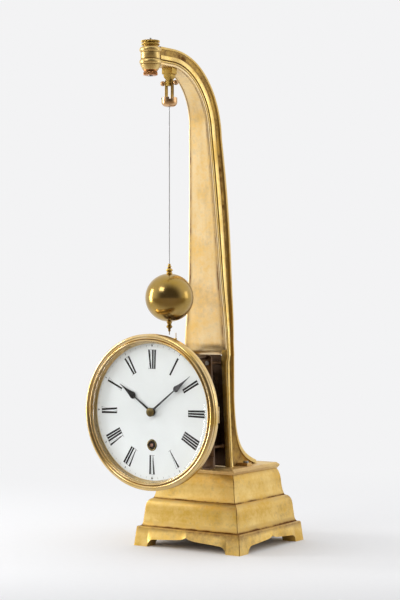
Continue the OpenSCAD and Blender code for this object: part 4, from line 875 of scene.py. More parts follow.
def around_dial(outline, angle):
    """Outline points (across, outward) turned to a clock angle past twelve."""
    across, out = outline[..., 0], outline[..., 1]
    return np.stack([across * np.cos(angle) + out * np.sin(angle),
                     -across * np.sin(angle) + out * np.cos(angle)], -1)


def figures_shell(low, high, bar, gap):
    """The twelve hour figures, upright outwards from the middle, a little narrower at the foot."""
    names = ["XII", "I", "II", "III", "IIII", "V", "VI", "VII", "VIII", "IX", "X", "XI"]
    outlines = []
    for hour, name in enumerate(names):
        strokes = figure_strokes(name, bar, gap)
        v = strokes[..., 1]
        across = strokes[..., 0] * (0.86 + 0.14 * v)
        outlines.append(around_dial(np.stack([across, low + (high - low) * v], -1),
                                    math.radians(30 * hour)))
    return printed(np.concatenate(outlines))


def track_shell(low, high, every, wide):
    """Marks of the minute track: short radial strokes at the given minutes."""
    minute = np.radians(6.0 * np.asarray(every))[:, None]
    one = np.array([(-wide / 2, low), (wide / 2, low), (wide / 2, high), (-wide / 2, high)])
    return printed(around_dial(np.repeat(one[None], len(every), 0), minute), 0.04)


def quarter_marks_shell(low, high):
    """Small solid triangles at twelve, three, six and nine, with their points inwards."""
    one = np.array([(-0.06, low - 0.4), (0.06, low - 0.4), (1.15, high), (-1.15, high)])
    turns = np.radians([0, 90, 180, 270])[:, None]
    return printed(around_dial(np.repeat(one[None], 4, 0), turns))


def hand_shell(reach, pear_at, pear_r, hub_r, bore, front, back, angle):
    """A pear hand: its half width is the largest of a tapered stem, the pear's circle and the
    point beyond it. Across the hand the section is a flattened ellipse."""
    s = np.unique(np.concatenate([
        np.linspace(hub_r - 1.0, pear_at - pear_r, 30),
        pear_at - pear_r * np.cos(np.linspace(0, np.pi, 41)),
        np.linspace(pear_at + pear_r * 0.2, reach, 50)]))
    stem = np.where(s < pear_at, 1.2 - 0.6 * s / pear_at, 0)
    circle = np.sqrt(np.clip(pear_r ** 2 - (s - pear_at) ** 2, 0, None))
    shoulder, neck = (pear_r * 0.96, pear_at + pear_r * 0.28), (0.9, pear_at + pear_r * 2.2)
    tip_w, tip_s = curve3(shoulder, neck, (0.12, reach), 59).T
    point = np.where(s >= shoulder[1], np.interp(s, tip_s, tip_w), 0)
    half = np.maximum.reduce([stem, circle, point])
    a = np.linspace(0, 2 * np.pi, 20, endpoint=False)[None, :]
    cos, sin = np.cos(a), np.sin(a)
    across = half[:, None] * np.sign(cos) * np.abs(cos) ** 0.6
    mid, thick = (front + back) / 2, (back - front) / 2
    lift = thick * np.sign(sin) * np.abs(sin) ** 0.6
    flat = around_dial(np.stack([across, np.repeat(s[:, None], 20, 1)], -1), angle)
    rings = np.stack([flat[..., 0], mid + lift + 0 * across, flat[..., 1] + DIAL_Z], -1)
    blade = lofted(rings)
    hub = about_dial(rounded([(bore, front), (hub_r, front), (hub_r, back), (bore, back)], 0.2, 3,
                             ring=True), 72, 0.4)
    return joined([blade, hub])


def collet_shell():
    """The hands' collet: a low dome on a stepped foot, over the minute arbor."""
    y = DIAL_Y - 3.4
    side = np.concatenate([[(4.6, y), (4.6, y - 0.45), (4.35, y - 0.55)],
                           curve3((4.3, y - 0.7), (4.0, y - 1.9), (1.6, y - 2.15), 10)])
    profile = np.concatenate([[(0.0, y - 1.8), (1.41, y - 1.8), (1.41, y)], side,
                              [(1.0, y - 2.2), (0.0, y - 2.2)]])
    return about_dial(profile, 96, 0.5)


def grommet_shell():
    """The ring of the winding hole."""
    y, r = DIAL_Y, 6.0
    profile = rounded([(r - 1.6, y - 0.45), (r - 1.0, y - 0.7), (r - 0.35, y - 0.55), (r, y),
                       (r - 0.8, y), (r - 0.8, y + 1.6), (r - 1.6, y + 1.6)], 0.2, 3, ring=True)
    return turned(profile, (0, 0, WIND_Z), axis="Y", steps=96, reach=0.5)


def bezel_shell():
    """The bezel: a sight ring that slopes out from the dial, a small bead over the glass's edge,
    a groove, a large bead and a plain skirt, turned about the dial's middle. The skirt is cut
    back beside the hinge, whose knuckle stands on a short leaf."""
    back, f = DIAL_Y + 1, BEZEL_FRONT
    lip, small, large = OPENING_R, 1.0, 2.8
    bead_r = BEZEL_R - large
    profile = np.concatenate([
        [(lip, DIAL_Y - 0.5), (lip, DIAL_Y - 1.0), (lip + 0.3, DIAL_Y - 1.5),
         (lip + 2.8, DIAL_Y - 4.5), (lip + 3.1, DIAL_Y - 5.2), (lip + 3.1, PANE_Y + 0.2)],
        arc((lip + 4.1, f + 1.5), small, 165, 330, 14),
        [(lip + 5.15, f + 2.4)],
        arc((bead_r, f + large), large, 195, 352, 24),
        [(BEZEL_R - 0.25, f + 3.6), (BEZEL_R - 0.55, f + 4.1), (BEZEL_R - 0.2, f + 4.5),
         (BEZEL_R, f + 5.1), (BEZEL_R, back - 0.3), (BEZEL_R - 0.3, back), (BEZEL_R - 1.6, back),
         (BEZEL_R - 1.6, CUT_Y + 0.05), (lip + 3.7, CUT_Y + 0.05), (lip + 3.7, DIAL_Y - 0.5)]])

    def notched(r, h, a):
        """The skirt ends 1 mm sooner beside the hinge."""
        hinge_reach = 9.3
        near = (np.abs(r * np.sin(a)) < hinge_reach) & (np.cos(a) > 0) & (r > BEZEL_R - 2.5)
        return r, np.where(near & (h > DIAL_Y), np.minimum(h, DIAL_Y + 0.05), h)
    ring = about_dial(profile, 384, 0.9, notched)
    tall = 4.0
    tube = rounded([(0.76, -tall), (1.6, -tall), (1.6, tall), (0.76, tall)], 0.2, 3, ring=True)
    knuckle = turned(tube, (HINGE_X, HINGE_Y, DIAL_Z), steps=48, reach=0.4)
    leaf = eased_block((HINGE_X - 0.2, CUT_Y - 0.8, DIAL_Z - tall),
                       (HINGE_X + 1.2, HINGE_Y - 0.9, DIAL_Z + tall), 0.2, 2)
    return joined([ring, knuckle, leaf])


def pane_shell():
    """The bezel's glass: a thin disc with a bevelled edge, a hair proud in the middle."""
    y, r = PANE_Y, OPENING_R + 3.4
    return about_dial([(0.0, y - 0.2), (20.0, y - 0.19), (45.0, y - 0.13), (66.0, y),
                       (r - 0.6, y + 0.05), (r, y + 0.5), (r, y + 0.9), (r - 0.3, y + 1.0),
                       (0.0, y + 1.0)], 192, 0.5)


def pane_ring_shell():
    """The thin ring behind the glass's edge: a rectangle with eased corners, turned."""
    y, r = PANE_Y + 1.05, OPENING_R + 2.2
    return about_dial(rounded([(r, y), (r + 1.1, y), (r + 1.1, y + 0.7), (r, y + 0.7)], 0.25, 4,
                              ring=True), 256, 0.4)


# Finishes: node groups give colours, values and normals, and each material holds its shader.

def wired(tree, node, *wires):
    """Wires sockets into a node's named or numbered inputs, or sets plain values there."""
    for key, value in wires:
        if isinstance(value, bpy.types.NodeSocket):
            tree.links.new(value, node.inputs[key])
        else:
            node.inputs[key].default_value = value
    return node


def add(tree, kind, *wires, **settings):
    """Adds a node with its properties set and its inputs wired."""
    node = tree.nodes.new(kind)
    for key, value in settings.items():
        setattr(node, key, value)
    return wired(tree, node, *wires)


def sums(tree, operation, a, b, clamp=False):
    """One step of arithmetic."""
    return add(tree, "ShaderNodeMath", (0, a), (1, b), operation=operation,
               use_clamp=clamp).outputs[0]


def plus(tree, a, b, clamp=False):
    """a + b, held between nought and one if clamp is set."""
    return sums(tree, "ADD", a, b, clamp)


def minus(tree, a, b, clamp=False):
    """a - b, held between nought and one if clamp is set."""
    return sums(tree, "SUBTRACT", a, b, clamp)


def times(tree, a, b, clamp=False):
    """a times b, held between nought and one if clamp is set."""
    return sums(tree, "MULTIPLY", a, b, clamp)


def larger(tree, a, b):
    """The larger of a and b."""
    return sums(tree, "MAXIMUM", a, b)


def vectors(tree, operation, a, b=(0.0, 0.0, 0.0)):
    """One step of vector arithmetic: a dot product and a length are numbers."""
    node = add(tree, "ShaderNodeVectorMath", (0, a), (1, b), operation=operation)
    return node.outputs["Value" if operation in ("DOT_PRODUCT", "LENGTH") else "Vector"]


def blended(tree, factor, a, b):
    """Colour a turned into colour b by the factor."""
    return add(tree, "ShaderNodeMix", (0, factor), (6, a), (7, b), data_type="RGBA",
               clamp_factor=True).outputs[2]


def mixed(tree, factor, a, b):
    """Shader a turned into shader b by the factor."""
    return add(tree, "ShaderNodeMixShader", (0, factor), (1, a), (2, b)).outputs[0]


def ranged(tree, value, low, high, to_low=0.0, to_high=1.0):
    """A value spread from one range over another, and held inside it."""
    return add(tree, "ShaderNodeMapRange", (0, value), (1, low), (2, high), (3, to_low),
               (4, to_high), clamp=True).outputs[0]


def eased(tree, value, low, high):
    """Nought below low, one above high, and a smooth step between them."""
    return add(tree, "ShaderNodeMapRange", (0, value), (1, low), (2, high),
               interpolation_type="SMOOTHSTEP").outputs[0]


def object_place(tree):
    """Object coordinates, in metres."""
    return add(tree, "ShaderNodeTexCoord").outputs["Object"]


def noise(tree, place, scale, detail, rough=0.5, output=0):
    """Noise over a place: output 0 is its value, and output 1 its colour."""
    return add(tree, "ShaderNodeTexNoise", ("Vector", place), ("Scale", scale),
               ("Detail", detail), ("Roughness", rough)).outputs[output]


def new_group(name, inputs, outputs):
    """An empty shader node group with its named sockets."""
    group = bpy.data.node_groups.new(name, "ShaderNodeTree")
    for label, kind, value in inputs:
        socket = group.interface.new_socket(label, in_out="INPUT", socket_type="NodeSocket" + kind)
        socket.default_value = value
    for label, kind in outputs:
        group.interface.new_socket(label, in_out="OUTPUT", socket_type="NodeSocket" + kind)
    return group, group.nodes.new("NodeGroupInput").outputs, group.nodes.new("NodeGroupOutput")


def grain_group():
    """Fine brush lines: noise whose coordinates are stretched much more along one axis, broken
    by a coarser noise, and turned into a value round one half."""
    group, start, end = new_group("Brush lines", [("Stretch", "Vector", (8.0, 8.0, 900.0))],
                                  [("Lines", "Float"), ("Broad", "Float")])
    place = object_place(group)
    bend = 0.0012
    shift = vectors(group, "MULTIPLY", noise(group, place, 30.0, 2.0, output=1), (bend, bend, bend))
    stretched = vectors(group, "MULTIPLY", vectors(group, "ADD", place, shift), start["Stretch"])
    wired(group, end, ("Lines", noise(group, stretched, 1.0, 5.0, 0.7)),
          ("Broad", noise(group, stretched, 0.22, 3.0, 0.55)))
    return group


def pits_group():
    """Small pits and specks: cells smaller than a limit that a slower noise raises and lowers."""
    group, start, end = new_group("Pits", [("Density", "Float", 420.0), ("Amount", "Float", 0.5)],
                                  [("Mask", "Float")])
    place = object_place(group)
    cells = add(group, "ShaderNodeTexVoronoi", ("Vector", place), ("Scale", start["Density"]))
    chance = ranged(group, noise(group, place, 55.0, 4.0), 0.46, 0.68, 0.02, 0.3)
    inside = minus(group, times(group, chance, start["Amount"]), cells.outputs["Distance"])
    wired(group, end, ("Mask", ranged(group, inside, 0.0, 0.06)))
    return group


def gilding_group():
    """Aged gilding: bright and plain gold in clouds, brush lines and a fine mottle, brown in the
    hollows as painted shade and tarnish, brown in ragged stains, worn edges, and dark pits."""
    group, start, end = new_group(
        "Aged gilding",
        [("Gold", "Color", (0.6, 0.4, 0.1, 1)), ("Pale", "Color", (0.8, 0.6, 0.3, 1)),
         ("Brown", "Color", (0.1, 0.05, 0.01, 1)), ("Worn", "Color", (0.8, 0.6, 0.3, 1)),
         ("Lines", "Float", 0.5), ("Broad", "Float", 0.5), ("Pits", "Float", 0.0),
         ("Streaks", "Float", 0.5), ("Mottle", "Float", 0.3), ("Stain", "Float", 0.3),
         ("Hollow", "Float", 0.8), ("Rub", "Float", 0.5), ("Sheen", "Float", 0.38)],
        [("Colour", "Color"), ("Roughness", "Float"), ("Height", "Float")])
    place = object_place(group)
    hollow, edge = [add(group, "ShaderNodeAttribute", attribute_name=key).outputs["Fac"]
                    for key in ("hollow", "edge")]
    clouds = noise(group, place, 38.0, 6.0, 0.6)
    broad = noise(group, place, 13.0, 5.0, 0.55)
    fine = noise(group, place, 190.0, 8.0, 0.72)
    line = minus(group, start["Lines"], 0.5)
    band = minus(group, start["Broad"], 0.5)
    both = plus(group, times(group, line, 0.9), times(group, band, 1.6))
    streak = times(group, both, start["Streaks"])
    speckle = times(group, minus(group, fine, 0.5), start["Mottle"])
    cloudy = ranged(group, clouds, 0.3, 0.7, 0.05, 0.8)
    lift = plus(group, cloudy, times(group, speckle, 2.6))
    gold = blended(group, plus(group, lift, streak, True), start["Gold"], start["Pale"])
    stain = times(group, ranged(group, plus(group, broad, speckle), 0.5, 0.68), start["Stain"])
    uneven = ranged(group, plus(group, clouds, speckle), 0.3, 0.7, 0.3, 1.4)
    # Dark in the hollows: painted shade, and tarnish.
    deep = times(group, times(group, hollow, uneven), start["Hollow"], True)
    dark = minus(group, larger(group, deep, stain), times(group, streak, 0.35), True)
    aged = blended(group, dark, gold, start["Brown"])
    rubbed = times(group, times(group, edge, uneven), start["Rub"], True)
    worn = blended(group, rubbed, aged, start["Worn"])
    specked = blended(group, times(group, start["Pits"], 0.8), worn, start["Brown"])
    rough = plus(group, start["Sheen"], times(group, dark, 0.25))
    rough = minus(group, rough, times(group, rubbed, 0.1))
    rough = plus(group, rough, times(group, line, 0.25), True)
    height = minus(group, times(group, start["Lines"], 0.35), start["Pits"])
    height = plus(group, height, times(group, clouds, 0.5))
    wired(group, end, ("Colour", specked), ("Roughness", rough),
          ("Height", plus(group, height, speckle)))
    return group


def spun_group():
    """Lathe marks: rings round an axis through a middle, as noise of the distance from that axis
    and along it."""
    group, start, end = new_group(
        "Lathe marks", [("Axis", "Vector", (0.0, 1.0, 0.0)), ("Middle", "Vector", (0.0, 0.0, 0.0)),
                        ("Fineness", "Float", 2600.0)], [("Lines", "Float"), ("Broad", "Float")])
    place = object_place(group)
    off = vectors(group, "SUBTRACT", place, start["Middle"])
    along = vectors(group, "DOT_PRODUCT", off, start["Axis"])
    radius = vectors(group, "LENGTH", vectors(group, "CROSS_PRODUCT", off, start["Axis"]))
    pair = add(group, "ShaderNodeCombineXYZ", (0, times(group, radius, start["Fineness"])),
               (1, times(group, along, start["Fineness"]))).outputs[0]
    wired(group, end, ("Lines", noise(group, pair, 1.0, 3.0, 0.7)),
          ("Broad", noise(group, place, 70.0, 4.0)))
    return group


GROUPS = {}


def group_node(tree, name, *wires):
    """Places one of the shared groups in a material, with its own values."""
    return add(tree, "ShaderNodeGroup", *wires, node_tree=GROUPS[name]).outputs


def new_material(name, metallic, roughness, preview):
    """A material with one principled shader whose own sockets hold its plain values."""
    material = bpy.data.materials.new(name)
    material.use_nodes = True
    material.diffuse_color = (*preview, 1)
    tree = material.node_tree
    tree.nodes.clear()
    shader = add(tree, "ShaderNodeBsdfPrincipled", ("Metallic", metallic),
                 ("Roughness", roughness), ("Base Color", (*preview, 1)))
    out = add(tree, "ShaderNodeOutputMaterial", ("Surface", shader.outputs[0]))
    return material, tree, shader, out


def solid(value):
    """A colour as a socket's four values."""
    return (*value, 1.0)


def bumped(tree, shader, height, strength, distance):
    """Sends a height through a bump into the shader's normal."""
    bump = add(tree, "ShaderNodeBump", ("Height", height), ("Strength", strength),
               ("Distance", distance))
    wired(tree, shader, ("Normal", bump.outputs[0]))


def brushed(*stretch):
    """Straight brush lines, by how finely they lie along X, Y and Z."""
    return "Brush lines", ("Stretch", stretch)


def spun(axis, middle, fineness=2600.0):
    """Lathe marks about an axis through a middle."""
    return "Lathe marks", ("Axis", axis), ("Middle", middle), ("Fineness", fineness)


def aged_metal(name, colours, marks, ageing, pits, bump, worn=None):
    """A metal that has aged. colours are the clean, the bright and the tarnished metal's; the
    tarnished colour also stands as painted shade in the hollows. marks are its brush lines or
    lathe marks. ageing is the strength of its streaks, stains, hollows (painted shade and
    tarnish), rubbed edges and mottle, and its sheen. worn is the colour of its rubbed edges,
    where that isn't the bright metal's."""
    gold, pale, brown = colours
    sheen = ageing[-1]
    material, tree, shader, _ = new_material(name, 1.0, sheen, gold)
    lines = group_node(tree, *marks)
    specks = group_node(tree, "Pits", ("Amount", pits))
    look = group_node(tree, "Aged gilding", ("Gold", solid(gold)), ("Pale", solid(pale)),
                      ("Brown", solid(brown)), ("Worn", solid(worn or pale)),
                      ("Lines", lines["Lines"]), ("Broad", lines["Broad"]),
                      ("Pits", specks["Mask"]),
                      *zip(("Streaks", "Stain", "Hollow", "Rub", "Mottle", "Sheen"), ageing))
    wired(tree, shader, ("Base Color", look["Colour"]), ("Roughness", look["Roughness"]))
    bump_depth = 0.0003
    bumped(tree, shader, look["Height"], bump, bump_depth)
    return material


def paler(value, amount):
    """A colour moved towards white by the amount."""
    return tuple(v + (1 - v) * amount for v in value)


def scaled(value, factor):
    """A colour made darker or lighter by a factor."""
    return tuple(min(1.0, v * factor) for v in value)


def enamel_material(enamel):
    """Fired enamel: an almost even pale surface with a faint cloud, under a clear gloss."""
    material, tree, shader, _ = new_material("Enamel", 0.0, 0.16, enamel)
    place = object_place(tree)
    cloud = noise(tree, place, 26.0, 5.0)
    clouded = blended(tree, ranged(tree, cloud, 0.3, 0.7), solid(enamel),
                      solid(scaled(enamel, 0.95)))
    specks = group_node(tree, "Pits", ("Density", 260.0), ("Amount", 0.25))
    spotted = blended(tree, times(tree, specks["Mask"], 0.25), clouded, (0.35, 0.34, 0.32, 1))
    wired(tree, shader, ("Base Color", spotted), ("Coat Weight", 0.35), ("Coat Roughness", 0.05),
          ("Roughness", ranged(tree, cloud, 0.3, 0.7, 0.12, 0.2)))
    bumped(tree, shader, noise(tree, place, 90.0, 2.0), 0.08, 0.0004)
    return material


def paint_material(name, ink, roughness, worn):
    """Black or grey paint, a little uneven in its cover."""
    material, tree, shader, _ = new_material(name, 0.0, roughness, ink)
    cover = noise(tree, object_place(tree), 420.0, 4.0)
    shade = blended(tree, ranged(tree, cover, 0.42, 0.72, 0.0, worn), solid(ink),
                    solid(paler(ink, 0.3)))
    wired(tree, shader, ("Specular IOR Level", 0.12), ("Base Color", shade),
          ("Roughness", ranged(tree, cover, 0.3, 0.7, roughness, roughness + 0.15)))
    bumped(tree, shader, cover, 0.1, 0.0001)
    return material


def glass_material():
    """Thin flat glass. Shadow rays pass it, so the dial under it is lit."""
    material, tree, shader, out = new_material("Glass", 0.0, 0.02, (1.0, 1.0, 1.0))
    haze = noise(tree, object_place(tree), 18.0, 3.0)
    wired(tree, shader, ("Transmission Weight", 1.0), ("IOR", 1.25),
          ("Roughness", ranged(tree, haze, 0.3, 0.7, 0.0, 0.03)))
    clear = add(tree, "ShaderNodeBsdfTransparent")
    path = add(tree, "ShaderNodeLightPath").outputs
    wired(tree, out, ("Surface", mixed(tree, path["Is Shadow Ray"], shader.outputs[0],
                                       clear.outputs[0])))
    return material


FINISHES = {}


def metal_values(cast, brass):
    """What aged_metal takes for each metal, with the settings' colours."""
    gold, pale, brown, worn, dust = [
        tuple(c) for c in (cast.gold, cast.pale, cast.brown, cast.worn, cast.dust)]
    satin, tarnish_and_shade, polish, movement, rose, steel = [
        tuple(c) for c in (brass.satin, brass.satin_brown, brass.polish, brass.movement,
                           brass.rose, brass.steel)]
    up = (0.0, 0.0, 1.0)
    boss_at, hang_at = [(0.0, (y + SHIFT_Y) * MM, 0.0) for y in (BOSS_Y, HANG_Y)]
    on_dial = spun((0.0, 1.0, 0.0), (0.0, 0.0, DIAL_Z * MM))
    on_boss, on_boss_coarse = spun(up, boss_at), spun(up, boss_at, 1500.0)
    on_hang, on_ball = spun(up, hang_at), spun(up, hang_at, 3200.0)
    filed = brushed(700.0, 700.0, 700.0)
    return {
        "plinth": ("Gilt plinth", (gold, pale, brown), brushed(5.0, 5.0, 170.0),
                   (0.45, 0.5, 1.0, 0.95, 0.6, 0.36), cast.pits * 0.7, 0.3, worn),
        "cap": ("Gilt cap", (dust, pale, brown), brushed(60.0, 60.0, 60.0),
                (0.4, 0.35, 0.9, 0.4, 0.5, 0.46), cast.pits, 0.3, worn),
        # The pillar's gilding is scaled down to 0.92: painted shade on the frame's sides.
        "pillar": ("Gilt pillar", (scaled(gold, 0.92), pale, brown), brushed(300.0, 160.0, 9.0),
                   (0.3, 0.5, 1.0, 0.6, 0.8, 0.36), cast.pits, 0.35),
        # The front plate's gilding is scaled up by 1.28 and paled: painted light on the face turned
        # to the lamps, over the same gilding as the pillar.
        "plate": ("Gilt front plate", (paler(scaled(gold, 1.28), 0.12), paler(pale, 0.3), brown),
                  brushed(260.0, 200.0, 10.0), (0.3, 0.3, 1.0, 0.5, 0.6, 0.42), cast.pits * 0.8,
                  0.25),
        "boss": ("Gilt boss", (paler(scaled(gold, 0.86), 0.08), pale, brown), on_boss_coarse,
                 (0.5, 0.45, 1.0, 0.5, 0.4, 0.34), 0.3, 0.25),
        "bezel": ("Satin brass bezel", (satin, paler(satin, 0.3), tarnish_and_shade), on_dial,
                  (0.5, 0.25, 0.9, 0.5, 0.2, 0.2), 0.1, 0.15),
        "nut": ("Satin brass nuts", (scaled(satin, 0.8), satin, tarnish_and_shade), on_boss,
                (0.5, 0.5, 1.0, 0.5, 0.3, 0.3), 0.2, 0.2),
        "copper nut": ("Coppery nut", (tone(178, 116, 66), tone(216, 156, 98), tarnish_and_shade), on_boss,
                       (0.5, 0.4, 1.0, 0.5, 0.3, 0.3), 0.2, 0.2),
        "olive": ("Dark olive brass", (tone(84, 72, 40), tone(150, 130, 84), tone(38, 28, 12)),
                  on_dial, (0.4, 0.5, 1.0, 0.3, 0.3, 0.26), 0.1, 0.15),
        "ball": ("Polished brass ball", (polish, paler(polish, 0.1), scaled(tarnish_and_shade, 1.3)), on_ball,
                 (0.16, 0.22, 0.8, 0.2, 0.3, 0.17), 0.12, 0.04),
        "dark": ("Dark turned brass", (scaled(tarnish_and_shade, 1.5), satin, scaled(tarnish_and_shade, 0.5)), on_hang,
                 (0.3, 0.3, 0.9, 0.35, 0.3, 0.35), 0.2, 0.15),
        # The movement's darkened colour is painted shade between the plates.
        "movement": ("Movement brass", (movement, paler(movement, 0.1), scaled(tarnish_and_shade, 0.7)),
                     brushed(900.0, 900.0, 12.0), (0.45, 0.5, 0.8, 0.4, 0.4, 0.36), 0.25, 0.15),
        "rose": ("Rose brass", (rose, paler(rose, 0.3), tarnish_and_shade), on_hang,
                 (0.4, 0.25, 0.9, 0.6, 0.3, 0.26), 0.1, 0.12),
        "rosy": ("Rosy winding square", (tone(150, 112, 92), tone(186, 146, 124), tone(56, 38, 28)),
                 filed, (0.35, 0.3, 0.7, 0.4, 0.3, 0.34), 0.2, 0.12),
        "steel": ("Steel", (steel, paler(steel, 0.3), (0.05, 0.04, 0.035)), filed,
                  (0.35, 0.25, 0.7, 0.4, 0.3, 0.3), 0.2, 0.12)}


def make_finishes(scene):
    """Builds the shared groups and every finish from the scene's settings."""
    for name, make in (("Brush lines", grain_group), ("Pits", pits_group),
                       ("Aged gilding", gilding_group), ("Lathe marks", spun_group)):
        GROUPS[name] = make()
    dial = scene.clock_dial
    metals = metal_values(scene.clock_castings, scene.clock_brass)
    paints = {"hour hand": ("Black hand", tone(24, 24, 26), 0.3, 0.1),
              "minute hand": ("Grey hand", tone(50, 50, 54), 0.28, 0.25),
              "ink": ("Figures", tuple(dial.ink), 0.35, 0.06),
              "grey ink": ("Minute marks", tone(120, 122, 124), 0.4, 0.3)}
    FINISHES.update({key: aged_metal(*values) for key, values in metals.items()})
    FINISHES.update({key: paint_material(*values) for key, values in paints.items()})
    FINISHES.update(enamel=enamel_material(tuple(dial.enamel)), glass=glass_material())


NODE_FINISHES = {
    "gilt": "pillar", "bezel_brass": "nut", "plate_brass": "movement", "ball_brass": "ball",
    "rose_brass": "rose", "steel": "steel", "blued_steel": "hour hand", "enamel": "enamel",
    "glass": "glass"}
OWN_FINISHES = {"carrier": "dark", "foot_lugs": "cap", "dial_case": "bezel",
                "clamp_screw": "steel", "winding_arbor": "rosy"}


class CLOCK_OT_finishes(Operator):
    """Gives every CAD node its procedural finish"""
    bl_idname = "clock.finishes"
    bl_label = "Finishes"

    def execute(self, context):
        make_finishes(context.scene)
        slots = {p["node"]: p["material_slot"] for p in frame["record"]["subparts"]}
        for name, node in frame["nodes"].items():
            finish = OWN_FINISHES.get(name, NODE_FINISHES[slots[name]])
            for slot in node.material_slots:
                slot.material = FINISHES[finish]
        return {"FINISHED"}


class CLOCK_OT_plinth(Operator):
    """Makes the hollow plinth and its cap plate"""
    bl_idname = "clock.plinth"
    bl_label = "Plinth"

    def execute(self, context):
        corner = context.scene.clock_castings.corner / MM
        placed("plinth_casting", plinth_shell(corner), "plinth", "base", "gilt", "plinth",
               crease=30)
        placed("cap_plate", cap_shell(corner), "cap", "base", "gilt", "plinth_cap", crease=30)
        return {"FINISHED"}


class CLOCK_OT_pillar(Operator):
    """Makes the pillar's moulded frame and its front plate"""
    bl_idname = "clock.pillar"
    bl_label = "Pillar"

    def execute(self, context):
        edge = context.scene.clock_castings.plate_edge / MM
        placed("pillar_casting", pillar_shell(), "pillar", "base", "gilt", "pillar_frame",
               crease=32)
        placed("front_plate", front_plate_shell(edge), "plate", "base", "gilt",
               "pillar_front_plate", crease=40)
        return {"FINISHED"}


class CLOCK_OT_boss(Operator):
    """Makes the boss at the arm's end and its two nuts"""
    bl_idname = "clock.boss"
    bl_label = "Boss and nuts"

    def execute(self, context):
        knurls = context.scene.clock_brass.knurls
        placed("boss", boss_shell(), "boss", "base", "gilt", "arm_boss")
        placed("top_nut", milled_nut_shell(knurls), "nut", "top_nut", "bezel_brass", "milled_nut",
               crease=50)
        placed("lower_nut", collar_nut_shell(), "copper nut", "base", "bezel_brass", "collar_nut",
               crease=50)
        return {"FINISHED"}


class CLOCK_OT_suspension(Operator):
    """Makes the hanging block, the cross pin and the cup with its posts"""
    bl_idname = "clock.suspension"
    bl_label = "Suspension"

    def execute(self, context):
        placed("hanging_block", block_shell(), "nut", "base", "bezel_brass", "suspension_block")
        placed("knobbed_pin", cross_pin_shell(), "rose", "base", "bezel_brass", "cross_pin")
        cup, posts = stirrup_shells()
        placed("cup", cup, "rose", "stirrup", "rose_brass", "stirrup")
        placed("cup_posts", posts, "dark", "stirrup", "rose_brass")
        return {"FINISHED"}


class CLOCK_OT_pendulum(Operator):
    """Makes the ball and its two finials"""
    bl_idname = "clock.pendulum"
    bl_label = "Pendulum"

    def execute(self, context):
        placed("ball_turned", ball_shell(), "ball", "pendulum", "ball_brass", "ball")
        placed("top_finial", upper_finial_shell(), "nut", "pendulum", "bezel_brass",
               "upper_finial", crease=60)
        placed("needle_finial", lower_finial_shell(), "dark", "pendulum", "plate_brass",
               "lower_finial", crease=60)
        return {"FINISHED"}


class CLOCK_OT_dial(Operator):
    """Prints the hour figures and the minute track on the enamel"""
    bl_idname = "clock.dial"
    bl_label = "Dial figures"

    def execute(self, context):
        dial = context.scene.clock_dial
        low, high, inner, outer, bar, gap = [
            value / MM for value in (dial.figure_in, dial.figure_out, dial.track_in,
                                     dial.track_out, dial.bar, dial.gap)]
        minutes = [m for m in range(60) if m % 5]
        hours = [m for m in range(0, 60, 5) if m % 15]
        placed("hour_figures", figures_shell(low, high, bar, gap), "ink", "base", "enamel")
        placed("minute_marks", track_shell(inner, outer, minutes, 0.28), "grey ink", "base",
               "enamel")
        placed("hour_marks", joined([track_shell(inner - 0.3, outer, hours, 0.7),
                                     quarter_marks_shell(inner, outer)]), "ink", "base", "enamel")
        placed("winding_ring", grommet_shell(), "olive", "base", "bezel_brass", "winding_grommet")
        return {"FINISHED"}


class CLOCK_OT_hands(Operator):
    """Makes the two pear hands and their collet"""
    bl_idname = "clock.hands"
    bl_label = "Hands"

    def execute(self, context):
        dial = context.scene.clock_dial
        hour = hand_shell(reach=48.0, pear_at=28.6, pear_r=3.7, hub_r=4.2, bore=2.61,
                          front=DIAL_Y - 1.5, back=DIAL_Y - 0.7, angle=dial.hour_at)
        minute = hand_shell(reach=60.7, pear_at=39.5, pear_r=3.2, hub_r=3.6, bore=1.41,
                            front=DIAL_Y - 3.4, back=DIAL_Y - 2.6, angle=dial.minute_at)
        placed("hour_pear", hour, "hour hand", "hour", "blued_steel", "hour_hand")
        placed("minute_pear", minute, "minute hand", "minute", "blued_steel", "minute_hand")
        placed("collet_dome", collet_shell(), "olive", "minute", "bezel_brass", "hand_collet")
        return {"FINISHED"}


class CLOCK_OT_bezel(Operator):
    """Makes the beaded bezel with its hinge knuckle, its glass and the ring behind it"""
    bl_idname = "clock.bezel"
    bl_label = "Bezel"

    def execute(self, context):
        placed("beaded_bezel", bezel_shell(), "bezel", "bezel", "bezel_brass", "bezel")
        placed("pane", pane_shell(), "glass", "bezel", "glass", "bezel_glass")
        placed("pane_ring", pane_ring_shell(), "bezel", "bezel", "bezel_brass", "glass_ring")
        return {"FINISHED"}


# Each lamp's bearing from the camera's side and elevation in radians, then its distance, width
# and height in metres.
LAMPS = {"left": (-1.68, 0.08, 1.25, 0.26, 0.95), "right": (math.pi / 2, 0.18, 1.3, 0.42, 0.5),
         "top": (-0.75, 0.66, 1.4, 0.5, 0.4)}
LAMPS_AIM = (0.0, -0.02, 0.25)
CAMERA_AT = (0.9015, -1.3790, 0.2635)
FLOOR_R, FLOOR_SIDES = 6.0, 96


def stage_light(name, bearing, elevation, distance, width, height, watts):
    """A rectangular light at a bearing and an elevation, turned to the lamps' aim."""
    lamp = bpy.data.lights.new(name, "AREA")
    lamp.shape, lamp.energy = "RECTANGLE", watts
    lamp.size, lamp.size_y = width, height
    light = bpy.data.objects.new(name, lamp)
    out = np.array([math.sin(bearing) * math.cos(elevation),
                    -math.cos(bearing) * math.cos(elevation), math.sin(elevation)])
    light.location = np.array(LAMPS_AIM) + distance * out
    light.rotation_euler = (math.pi / 2 - elevation, 0.0, bearing)
    bpy.context.scene.collection.objects.link(light)


